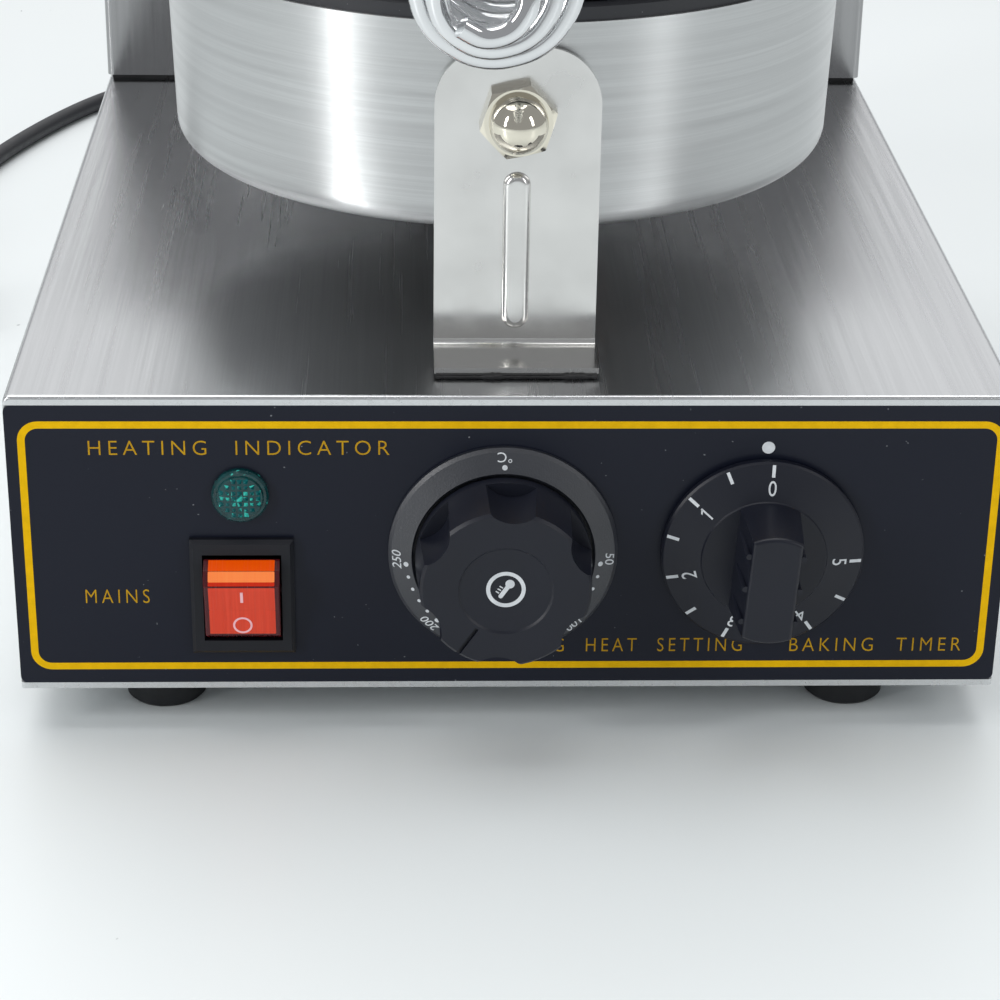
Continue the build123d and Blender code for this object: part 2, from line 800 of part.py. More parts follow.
def lower_plate():
    """The lower baking plate."""
    plate = Pos(0, pan_axis_y, parting - plate_gap / 2) * baking_plate()
    for x, y in ring_of(3, fixing_circle, 90):
        plate -= rod(2.5, (x, y, plate_underside() - 1), (x, y, plate_underside() + 6))
    return plate


def upper_plate():
    """The upper baking plate, facing down."""
    plate = Pos(0, pan_axis_y, parting + plate_gap / 2) * Rot(180, 0, 0) * baking_plate()
    top = lid_rim + plate_body_depth
    for x, y in ring_of(3, fixing_circle, 90):
        plate -= rod(2.5, (x, y, top - 6), (x, y, top + 1))
    return plate


def heating_element(z, leg_end):
    """A horseshoe heating rod against a plate, with two legs through the insulation."""
    gap = 24
    arc = CenterArc((0, 0), element_ring_radius, 90 + gap / 2, 360 - gap)
    start = Plane(origin=arc @ 0, z_dir=arc % 0)
    ring = sweep(start * Circle(element_radius), path=arc)
    ring = Pos(0, pan_axis_y, z) * ring
    for angle in (90 - gap / 2, 90 + gap / 2):
        x = element_ring_radius * math.cos(math.radians(angle))
        y = pan_axis_y + element_ring_radius * math.sin(math.radians(angle))
        ring += Pos(x, y, z) * Sphere(element_radius)
        ring += rod(element_radius, (x, y, z), (x, y, leg_end))
    return ring


def insulation(low, high):
    """A ceramic-fibre disc with holes for the leads, the fixings and the bulb."""
    disc = rod(76, (0, pan_axis_y, low), (0, pan_axis_y, high))
    disc -= rod(8, (0, pan_axis_y, low - 1), (0, pan_axis_y, high + 1))
    disc -= rod(2, (20, pan_axis_y, low - 1), (20, pan_axis_y, high + 1))
    for x, y in ring_of(3, fixing_circle, 90):
        disc -= rod(4.7, (x, y, low - 1), (x, y, high + 1))
    for angle in (78, 102):
        x = element_ring_radius * math.cos(math.radians(angle))
        y = pan_axis_y + element_ring_radius * math.sin(math.radians(angle))
        disc -= rod(element_radius + 0.2, (x, y, low - 1), (x, y, high + 1))
    return disc


def plate_fixings(inner, outer, way):
    """Three screws with spacer sleeves between a pan and its plate."""
    parts = []
    for x, y in ring_of(3, fixing_circle, 90):
        parts.append(screw(4.4, 2.6, 2.5, abs(inner - outer) + 4.5, (x, y, outer), (0, 0, way)))
        parts.append(tube(4.5, 2.6, (x, y, outer + way * sheet), (x, y, inner)))
    return parts


def lower_lead_sleeve():
    """The heat-proof sleeve that carries the lower heater's leads down into the base."""
    sleeve = tube(5.0, 3.4, (0, pan_axis_y, deck - 8), (0, pan_axis_y, pan_floor + 12))
    collar = tube(7.2, 5.0, (0, pan_axis_y, deck - 2.4), (0, pan_axis_y, deck))
    flange = tube(9.5, 5.0, (0, pan_axis_y, deck), (0, pan_axis_y, deck + 2.0))
    return sleeve + collar + flange


# Column and hinge


def column_housing():
    """The full-width folded column behind the pans, open at its rear."""
    low = deck + column_gap
    back = rear - 1.0
    shell = block((-half_width, column_front, low), (half_width, back, column_top))
    upright = shell.edges().filter_by(Axis.Z).group_by(Axis.Y)[0]
    shell = fillet(upright, bend)
    shell = fillet(shell.faces().sort_by(Axis.Z)[-1].edges().sort_by(Axis.Y)[:-1], 1.0)
    shell -= block(
        (-half_width + sheet, column_front + sheet, low + sheet),
        (half_width - sheet, rear, column_top - sheet),
    )
    shell -= block((-62, column_front + 10, low - 1), (62, rear - 10, low + 3))
    for x, y in deck_bolt_places():
        shell -= rod(2.7, (x, y, low - 1), (x, y, low + 3))
    for x, z in hinge_screw_places():
        shell -= rod(2.7, (x, column_front - 1, z), (x, column_front + 3, z))
    return shell


def column_gasket():
    """The dark sealing strip between the column and the deck."""
    outer, inner = half_width - 1.5, half_width - 18
    strip = block((-outer, column_front + 1.2, deck), (outer, rear - 1.5, deck + column_gap))
    strip -= block((-inner, column_front + 14, deck - 1), (inner, rear - 13.5, deck + 3))
    for x, y in deck_bolt_places():
        strip -= rod(2.7, (x, y, deck - 1), (x, y, deck + 3))
    return strip


def column_cover():
    """The rear cover of the column, with slots that let heat out."""
    low = deck + column_gap + 0.4
    cover = block((-half_width + 0.6, rear - 1.0, low), (half_width - 0.6, rear, column_top - 0.4))
    cover = fillet(cover.edges().filter_by(Axis.Y), 2)
    for index in range(9):
        x = -48 + 12 * index
        slot = front_plane(x, rear, column_top - 26) * SlotOverall(26, 4, rotation=90)
        cover -= extrude(slot, amount=3, both=True)
    for x, z in column_cover_screw_places():
        cover -= rod(1.7, (x, rear - 2, z), (x, rear + 1, z))
    return cover


def column_cover_screw_places():
    """The six screws of the rear cover."""
    return [(x, z) for x in (-110.0, 0.0, 110.0) for z in (deck + 10, column_top - 8)]


def hinge_screw_places():
    """The four screws of the fixed hinge bracket."""
    return [(x, z) for x in (-32.0, 32.0) for z in (base_bottom + 124, base_bottom + 149)]


def column_fasteners():
    """Deck bolts, cover screws and hinge bracket screws of the column."""
    parts = [screw(2.9, rear_reach, 1.6, 5, (x, rear, z), (0, -1, 0)) for x, z in column_cover_screw_places()]
    for x, y in deck_bolt_places():
        parts.append(screw(4.4, 2.6, 2.5, 8, (x, y, deck - sheet), (0, 0, 1)))
    for x, z in hinge_screw_places():
        parts.append(screw(4.4, 2.6, 2.5, 8, (x, column_front - 2.0, z), (0, 1, 0)))
    return Compound(children=parts)


def ear(x, width, plate_low, plate_high, eye_radius):
    """A hinge ear: a plate edge and a round eye joined by straight sides."""
    middle = ((plate_low[0] + plate_high[0]) / 2, (plate_low[1] + plate_high[1]) / 2)
    size = (plate_high[0] - plate_low[0], plate_high[1] - plate_low[1])
    edge = Pos(*middle) * Rectangle(*size)
    eye = Pos(hinge_y, hinge_z) * Circle(eye_radius)
    outline = make_hull(edge.edges() + eye.edges())
    return extrude(Plane(origin=(x, 0, 0), x_dir=(0, 1, 0), z_dir=(1, 0, 0)) * outline, amount=width)


def hinge_bracket():
    """The fixed hinge bracket on the column: a plate with two ears."""
    low = base_bottom + 118
    high = base_bottom + 157
    reach = hinge_ear_x + hinge_ear_sheet
    plate = block((-reach, column_front - 2, low), (reach, column_front, high))
    for x in (-reach, hinge_ear_x):
        plate += ear(x, hinge_ear_sheet, (column_front - 2, low), (column_front, high), 11.0)
    plate -= rod(hinge_radius, (-60, hinge_y, hinge_z), (60, hinge_y, hinge_z))
    for x, z in hinge_screw_places():
        plate -= rod(2.7, (x, column_front - 3, z), (x, column_front + 1, z))
    return plate


def hinge_tube():
    """The hollow hinge pin, which also carries the upper heater's leads."""
    return tube(hinge_radius, hinge_bore, (-53, hinge_y, hinge_z), (53, hinge_y, hinge_z))


def hinge_clips():
    """Two clip rings on the ends of the pin and two sleeves beside the lid's ears."""
    clips = []
    for side in (-1, 1):
        outer = side * (hinge_ear_x + hinge_ear_sheet)
        rim = outer + side * 1.5
        clips.append(tube(7.5, hinge_radius, (outer, hinge_y, hinge_z), (rim, hinge_y, hinge_z)))
        start = side * (lid_ear_x + lid_arm_sheet + 1.3)
        stop = side * hinge_ear_x
        clips.append(tube(7.0, hinge_radius, (start, hinge_y, hinge_z), (stop, hinge_y, hinge_z)))
    return Compound(children=clips)


def hinge_bushes():
    """Two flanged bushes in the lid's ears and the spacer between them."""
    bore = hinge_radius + shaft_play
    parts = []
    for side in (-1, 1):
        inner = side * lid_ear_x
        outer = side * (lid_ear_x + lid_arm_sheet)
        bush = tube(6.5, bore, (inner, hinge_y, hinge_z), (outer, hinge_y, hinge_z))
        bush += tube(8.0, bore, (outer, hinge_y, hinge_z), (outer + side * 1.0, hinge_y, hinge_z))
        parts.append(bush)
    parts.append(tube(7.5, bore, (-lid_ear_x, hinge_y, hinge_z), (lid_ear_x, hinge_y, hinge_z)))
    return Compound(children=parts)


def lid_arm():
    """The hinge arm on the lid: a plate behind the upper pan with two ears."""
    face = pan_axis_y + pan_radius + 0.4
    low = lid_rim + 2
    high = base_bottom + 211
    reach = lid_ear_x + lid_arm_sheet
    arm = block((-reach, face, low), (reach, face + 2.5, high))
    arm = fillet(arm.edges().filter_by(Axis.Y).group_by(Axis.Z)[-1], 6)
    for x in (-reach, lid_ear_x):
        arm += ear(x, lid_arm_sheet, (face, low), (face + 2.5, high - 8), 10.0)
    arm -= rod(6.5, (-60, hinge_y, hinge_z), (60, hinge_y, hinge_z))
    for z in lid_arm_screw_levels():
        arm -= rod(3.2, (0, face - 1, z), (0, face + 4, z))
    return arm


def lid_fasteners():
    """Hinge arm screws and their nuts, plate screws, and the handle's screw."""
    face = pan_axis_y + pan_radius + 2.9
    parts = []
    for z in lid_arm_screw_levels():
        parts.append(screw(5.5, 3.2, 3.0, 13, (0, face, z), (0, -1, 0)))
        nut = hexagon(10, (0, face - 5.6, z), (0, face - 10, z))
        parts.append(nut - rod(3.0, (0, face, z), (0, face - 20, z)))
    parts += plate_fixings(lid_rim + plate_body_depth, lid_top, -1)
    inside = pan_axis_y - pan_radius + 3.4
    parts.append(screw(5.5, 3.2, 3.0, 14, (0, inside, handle_z), (0, -1, 0)))
    return Compound(children=parts)


# Handle


def handle_place():
    """The handle's own frame: Z runs outward along the handle from the lid's front."""
    lean = math.radians(handle_lean)
    way = (-math.sin(lean), -math.cos(lean), 0)
    return Plane(origin=(0, handle_root_y, handle_z), x_dir=(math.cos(lean), -math.sin(lean), 0), z_dir=way)


def handle_mount():
    """The boss between the lid and the handle rod."""
    boss = rod(12, (0, handle_root_y - 0.1, handle_z), (0, handle_root_y - 13, handle_z))
    boss = fillet(boss.edges().sort_by(Axis.Y)[0], 2.5)
    boss -= handle_place() * Pos(0, 0, 10) * extrude(Circle(rod_radius), amount=20)
    return boss - rod(3.0, (0, handle_root_y + 5, handle_z), (0, handle_root_y - 10.6, handle_z))


def handle_rod():
    """The plain rod that the grip is wound on."""
    bar = extrude(Circle(rod_radius), amount=34)
    bar = fillet(bar.edges().sort_by(Axis.Z)[-1], 2)
    core = handle_place() * Pos(0, 0, 10) * bar
    return core - rod(3.0, (0, handle_root_y + 5, handle_z), (0, handle_root_y - 10.6, handle_z))


def grip_radius_at(along):
    """The winding's radius at a distance along the handle."""
    root = rod_radius + wire_radius + 0.05
    if along < grip_full:
        share = (along - grip_start) / (grip_full - grip_start)
        share = share * share * (3 - 2 * share)
        return root + (grip_radius - root) * share
    if along > grip_taper:
        share = (along - grip_taper) / (grip_end - grip_taper)
        return grip_radius - (grip_radius - grip_tip_radius) * share
    return grip_radius


def handle_spring_grip():
    """The coiled-wire grip, drawn in at its rear on the rod and at its front to a small eye."""
    turns = (grip_end - grip_start) / grip_pitch
    steps = round(turns * points_per_turn)
    points = []
    for step in range(steps + 1):
        along = grip_start + (grip_end - grip_start) * step / steps
        angle = math.radians(grip_end_angle + 360 * (grip_end - along) / grip_pitch)
        # The corners lie outside the winding's circle, so that the rounded path follows it.
        radius = grip_radius_at(along) / math.cos(math.pi / points_per_turn)
        points.append((radius * math.cos(angle), radius * math.sin(angle), along))
    path = FilletPolyline(points, radius=corner_radii(points))
    start = Plane(origin=path @ 0, z_dir=path % 0)
    coil = sweep(start * Circle(wire_radius), path=path)
    return handle_place() * coil


# Power cord


def cord_route():
    """The uncoiled stretch of the cord, from its boot to the coil."""
    return [
        (-45.0, 212.0, 42.0),
        (-45.0, 237.0, 41.0),
        (-45.0, 262.0, 30.0),
        (-44.0, 285.0, 14.0),
        (-42.5, 312.0, 3.25),
        (-40.0, 346.0, 3.25),
        (-41.0, 381.0, 3.25),
        (-50.0, 414.0, 3.25),
        (-71.0, 438.0, 3.25),
        (-102.0, 441.0, 3.25),
        (-130.0, 425.0, 3.25),
        (-152.0, 400.0, 3.25),
        (-169.5, 367.0, 3.25),
        (-184.0, 330.0, 3.25),
        (-194.0, 293.0, 3.25),
        (-195.8, 257.0, 3.25),
        (-195.4, 226.0, 3.25),
    ]


def power_cord():
    """The cord's tube along its route."""
    points = cord_route()
    radii = corner_radii(points)
    path = FilletPolyline(points, radius=radii)
    start = Plane(origin=path @ 0, z_dir=path % 0)
    cord = sweep(start * Circle(cord_radius), path=path)
    print("cord radii", [round(r, 1) for r in radii])
    full_volume = math.pi * cord_radius**2 * path.length
    print("cord length", round(path.length, 1), "volume share", round(cord.volume / full_volume, 4))
    return cord


def cord_gland():
    """The tapered strain relief in the base's rear wall."""
    outline = [
        (cord_radius - 0.05, -6.0),
        (8.0, -6.0),
        (8.0, -1.2 - 0.05),
        (6.4, -1.2 - 0.05),
        (6.4, 0.0),
        (8.6, 0.0),
        (8.6, 3.0),
        (7.0, 4.5),
        (4.6, boot_length),
        (cord_radius - 0.05, boot_length),
    ]
    body = spin(outline, 0, 0, 0, "up")
    body += rod(cord_radius, (0, 0, -6), (0, 0, boot_length))
    for index in range(4):
        z = 8.0 + 4.5 * index
        body -= tube(9, 5.0, (0, 0, z), (0, 0, z + 1.4))
    return Pos(gland_x, rear, gland_z) * Rot(-90, 0, 0) * body


def cord_coil():
    """The put-away turns of the cord, as one ring on the floor."""
    ring = tube(coil_outer, coil_inner, (coil_x, coil_y, 0), (coil_x, coil_y, coil_height))
    return fillet(ring.edges(), 3)


def cord_tie():
    """The wire tie that holds the coil's turns together."""
    x = coil_x - (coil_outer + coil_inner) / 2
    width = (coil_outer - coil_inner) / 2
    outer = Pos(x, coil_y, coil_height / 2) * Box(2 * width + 2.4, 7, coil_height + 1.2)
    outer = Pos(0, 0, 0.6) * outer
    outer = fillet(outer.edges().filter_by(Axis.Y), 2)
    inner = Pos(x, coil_y, coil_height / 2) * Box(2 * width, 8, coil_height)
    floor = block((x - 30, coil_y - 10, -5), (x + 30, coil_y + 10, 0))
    return outer - inner - floor


def plug_body():
    """The moulded plug with its tapered boot, lying at the end of the coil's last turn."""
    tail = plug_y
    x = plug_x
    shell = block((x - 15, tail - 58, 0), (x + 15, tail - 24, 22))
    shell = fillet(shell.edges().filter_by(Axis.Y), 6)
    shell = fillet(shell.faces().sort_by(Axis.Y)[0].edges(), 1.0)
    boot_low = front_plane(x, tail, 8.5) * Circle(4.5)
    boot_high = front_plane(x, tail - 24.5, 11.0) * Circle(8.5)
    return shell + loft([boot_low, boot_high])


def plug_pins():
    """The plug's three flat pins."""
    x = plug_x
    y = plug_y - 58.0
    blade = Box(1.6, 18, 6.3)
    pins = [Pos(x, y - 9, 5.8) * blade]
    for side in (-1, 1):
        pins.append(Pos(x + side * 7.0, y - 9, 15.0) * Rot(0, side * 30, 0) * blade)
    return Compound(children=pins)


nodes = {
    "base_housing": base_housing(),
    "bottom_cover": bottom_cover(),
    "base_fasteners": base_fasteners(),
    "control_panel": control_panel(),
    "lamp_lens": lamp_lens(),
    "lamp_body": lamp_body(),
    "panel_nuts": panel_nuts(),
    "switch_housing": switch_housing(),
    "rocker_button": rocker_button(),
    "thermostat_bezel": thermostat_bezel(),
    "thermostat_body": thermostat_body(),
    "thermostat_screws": thermostat_screws(),
    "thermostat_shaft": thermostat_shaft(),
    "thermostat_knob": thermostat_knob(),
    "thermostat_bulb": thermostat_bulb(),
    "timer_body": timer_body(),
    "timer_shaft": timer_shaft(),
    "timer_knob": timer_knob(),
    "terminal_block": terminal_block(),
    "wiring_loom": wiring_loom(),
    "front_bracket": front_bracket(),
    "bracket_sealant": bracket_sealant(),
    "front_bolt": front_bolt(),
    "front_acorn_nut": front_acorn_nut(),
    "bracket_fasteners": bracket_fasteners(),
    "rear_bracket": rear_bracket(),
    "lower_pan": lower_pan(),
    "lower_plate": lower_plate(),
    "lower_heating_element": heating_element(plate_underside() - element_radius, pan_floor + 6),
    "lower_insulation": insulation(pan_floor + 4, pan_floor + 18),
    "lower_plate_screws": Compound(children=plate_fixings(plate_underside(), pan_floor, 1)),
    "lower_lead_sleeve": lower_lead_sleeve(),
    "column_housing": column_housing(),
    "column_gasket": column_gasket(),
    "column_cover": column_cover(),
    "column_fasteners": column_fasteners(),
    "hinge_bracket": hinge_bracket(),
    "hinge_tube": hinge_tube(),
    "hinge_clips": hinge_clips(),
    "hinge_bushes": hinge_bushes(),
    "lid_arm": lid_arm(),
    "upper_pan": upper_pan(),
    "upper_plate": upper_plate(),
    "upper_heating_element": heating_element(lid_rim + plate_body_depth + element_radius, lid_top - 6),
    "upper_insulation": insulation(lid_top - 18, lid_top - 4),
    "lid_fasteners": lid_fasteners(),
    "handle_mount": handle_mount(),
    "handle_rod": handle_rod(),
    "handle_spring_grip": handle_spring_grip(),
    "cord_gland": cord_gland(),
    "power_cord": power_cord(),
    "cord_coil": cord_coil(),
    "cord_tie": cord_tie(),
    "plug_body": plug_body(),
    "plug_pins": plug_pins(),
}
for side, end, x, y in foot_places():
    nodes[f"foot_{end}_{side}"] = foot(x, y)

os.makedirs("parts", exist_ok=True)
for name, shape in nodes.items():
    export_step(shape, f"parts/{name}.step")
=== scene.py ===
import json
import math
import random

import bmesh
import bpy
from mathutils import Matrix, Vector


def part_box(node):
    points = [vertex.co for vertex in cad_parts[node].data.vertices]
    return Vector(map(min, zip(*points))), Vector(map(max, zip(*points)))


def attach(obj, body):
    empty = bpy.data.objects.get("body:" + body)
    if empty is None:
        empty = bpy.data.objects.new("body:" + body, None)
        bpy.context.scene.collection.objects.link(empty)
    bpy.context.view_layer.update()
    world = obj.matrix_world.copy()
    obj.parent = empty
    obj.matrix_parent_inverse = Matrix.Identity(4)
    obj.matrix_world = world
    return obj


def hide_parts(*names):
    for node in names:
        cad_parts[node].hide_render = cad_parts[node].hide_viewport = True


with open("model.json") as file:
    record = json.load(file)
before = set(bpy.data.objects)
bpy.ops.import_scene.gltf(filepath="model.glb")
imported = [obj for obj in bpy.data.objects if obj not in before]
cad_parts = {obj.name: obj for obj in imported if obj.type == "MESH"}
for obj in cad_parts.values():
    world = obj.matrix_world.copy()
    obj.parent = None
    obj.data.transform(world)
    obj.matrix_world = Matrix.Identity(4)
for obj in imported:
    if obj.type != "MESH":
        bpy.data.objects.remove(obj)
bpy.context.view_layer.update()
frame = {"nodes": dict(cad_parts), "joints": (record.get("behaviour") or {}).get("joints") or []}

# The looks of a waffle cone maker, in metres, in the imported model's own frame.
# Lists and pairs of bare sizes, such as routes and outlines, are in millimetres.

mm = 0.001

# Places, from the frame
base_low, base_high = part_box("base_housing")
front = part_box("control_panel")[0].y
deck = base_high.z
base_bottom = base_low.z
joints = {joint["name"]: Vector(joint["pos_m"]) for joint in frame["joints"]}
thermostat = joints["thermostat_turn"]
timer = joints["timer_turn"]
rocker = joints["rocker_tilt"]
lower_pan_low, lower_pan_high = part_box("lower_pan")
pan_centre = (lower_pan_low + lower_pan_high) / 2
lens_low, lens_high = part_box("lamp_lens")
lamp = (lens_low + lens_high) / 2

# Camera
camera_place = Vector((-26.18 * mm, front - 587.23 * mm, base_bottom + 330.76 * mm))
camera_pitch = math.radians(25.45)
camera_yaw = math.radians(2.25)
camera_roll = math.radians(0.91)
camera_lens = 98.0
camera_sensor = 36.0

# Floor and light
floor_size = 12.0
sky_colour = (0.95, 0.97, 1.0, 1.0)
sky_strength = 0.38
overhead_energy = 1.75
overhead_softness = math.radians(60.0)
overhead_lean = (math.radians(-16.0), math.radians(-8.0), 0.0)
light_target = (0.0, 0.0, 0.12)

# Graphics on the panel
ink = 0.06 * mm
font_capital = 0.72
frame_line = 1.8 * mm
frame_side = 117.0 * mm
frame_low = base_bottom + 5.3 * mm
frame_high = base_bottom + 71.6 * mm
frame_corner = 5.0 * mm
gold_capital = 3.7 * mm
gold_thinning = 0.05 * mm
gold_spacing = 1.4
index_dot_radius = 1.55 * mm
index_dot_height = 64.8 * mm
index_dot_shift = 0.2 * mm
timer_rest = math.radians(3.5)
thermostat_rest = math.radians(214.0)
rocker_rest = math.radians(12.0)
rocker_face_side = 7.95 * mm

# Power cord
cord_radius = 3.25 * mm
coil_centre = Vector((-240.0, 215.0, 0.0)) * mm
coil_outer_turn = 44.5 * mm
coil_step = 7.0 * mm
coil_layer = 6.7 * mm
coil_points = 16
coil_climb_start = 1.93
coil_climb = 0.14
plug_lead = 12.0 * mm
plug_reach = 30.0 * mm
plug_height = 8.8 * mm

# Textures: noise scales along and across the steel's grain, and the radius that its arcs follow
steel_grain_length = 14.0
steel_grain_width = 2600.0
steel_streak_share = 0.22
pan_radius = 90.0 * mm


# Making


def link(name, data, body, material):
    """Puts mesh or curve data in the scene as a piece that rides on a body."""
    piece = bpy.data.objects.new(name, data)
    bpy.context.scene.collection.objects.link(piece)
    data.materials.append(material)
    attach(piece, body)
    return piece


def mesh_from(build, name):
    """A mesh from a function that fills a bmesh."""
    bm = bmesh.new()
    build(bm)
    bmesh.ops.recalc_face_normals(bm, faces=bm.faces)
    mesh = bpy.data.meshes.new(name)
    bm.to_mesh(mesh)
    bm.free()
    return mesh


def smooth(piece, angle=30.0):
    """Shades a piece smooth, with edges kept where the surface turns sharply."""
    mesh = piece.data
    mesh.shade_smooth()
    mesh.set_sharp_from_angle(angle=math.radians(angle))
    return piece


def facing_front(x, y, z):
    """A frame that faces the front: X to the right, Y up, and Z out towards the viewer."""
    return Matrix.Translation((x, y, z)) @ Matrix.Rotation(math.pi / 2, 4, "X")


def round_outline(half_width, half_height, corner, steps=8):
    """The points of a rectangle with rounded corners, about the origin."""
    points = []
    for quarter, (sx, sy) in enumerate(((1, 1), (-1, 1), (-1, -1), (1, -1))):
        for step in range(steps + 1):
            angle = math.pi / 2 * (quarter + step / steps)
            x = sx * (half_width - corner) + corner * math.cos(angle)
            y = sy * (half_height - corner) + corner * math.sin(angle)
            points.append((x, y))
    return points


def add_prism(bm, points, low, high, place=Matrix()):
    """A closed prism over an outline of (x, y) points, between two heights."""
    bottom = [bm.verts.new(place @ Vector((x, y, low))) for x, y in points]
    top = [bm.verts.new(place @ Vector((x, y, high))) for x, y in points]
    bm.faces.new(top)
    bm.faces.new(list(reversed(bottom)))
    for a, b, c, d in zip(bottom, bottom[1:] + bottom[:1], top[1:] + top[:1], top):
        bm.faces.new((a, b, c, d))


def add_band(bm, outer, inner, low, high, place=Matrix()):
    """A closed flat band between two outlines with the same number of points."""
    loops = []
    for points, level in ((outer, low), (outer, high), (inner, high), (inner, low)):
        loops.append([bm.verts.new(place @ Vector((x, y, level))) for x, y in points])
    for loop, other in zip(loops, loops[1:] + loops[:1]):
        for index in range(len(loop)):
            after = (index + 1) % len(loop)
            bm.faces.new((loop[index], loop[after], other[after], other[index]))


def circle_points(radius, count=32, x=0.0, y=0.0):
    """Points on a circle."""
    turns = [2 * math.pi * i / count for i in range(count)]
    return [(x + radius * math.cos(a), y + radius * math.sin(a)) for a in turns]


def bar_points(half_width, half_height, x=0.0, y=0.0):
    """The corners of an upright rectangle."""
    signs = ((1, 1), (-1, 1), (-1, -1), (1, -1))
    return [(x + sx * half_width, y + sy * half_height) for sx, sy in signs]


def add_lettering(bm, text, height, place, width=0.0, stretch=1.0, spacing=1.0, slant=0.0, thin=0.0):
    """Raised lettering, centred on its place, and fitted to a width if one is given."""
    curve = bpy.data.curves.new("lettering", "FONT")
    curve.body = text
    curve.size = height / font_capital
    curve.space_character = spacing
    curve.shear = slant
    curve.offset = -thin
    curve.extrude = ink
    curve.resolution_u = 4
    writing = bpy.data.objects.new("lettering", curve)
    bpy.context.scene.collection.objects.link(writing)
    bpy.context.view_layer.update()
    evaluated = writing.evaluated_get(bpy.context.evaluated_depsgraph_get())
    mesh = bpy.data.meshes.new_from_object(evaluated)
    bpy.data.objects.remove(writing)
    low = Vector(tuple(min(vertex.co[i] for vertex in mesh.vertices) for i in range(3)))
    high = Vector(tuple(max(vertex.co[i] for vertex in mesh.vertices) for i in range(3)))
    x_scale = width / (high.x - low.x) if width else stretch
    y_scale = height / (high.y - low.y)
    fit = Matrix.Diagonal((x_scale, y_scale, 1.0, 1.0)) @ Matrix.Translation(-(low + high) / 2)
    mesh.transform(place @ fit)
    bm.from_mesh(mesh)
    bpy.data.meshes.remove(mesh)


# Materials


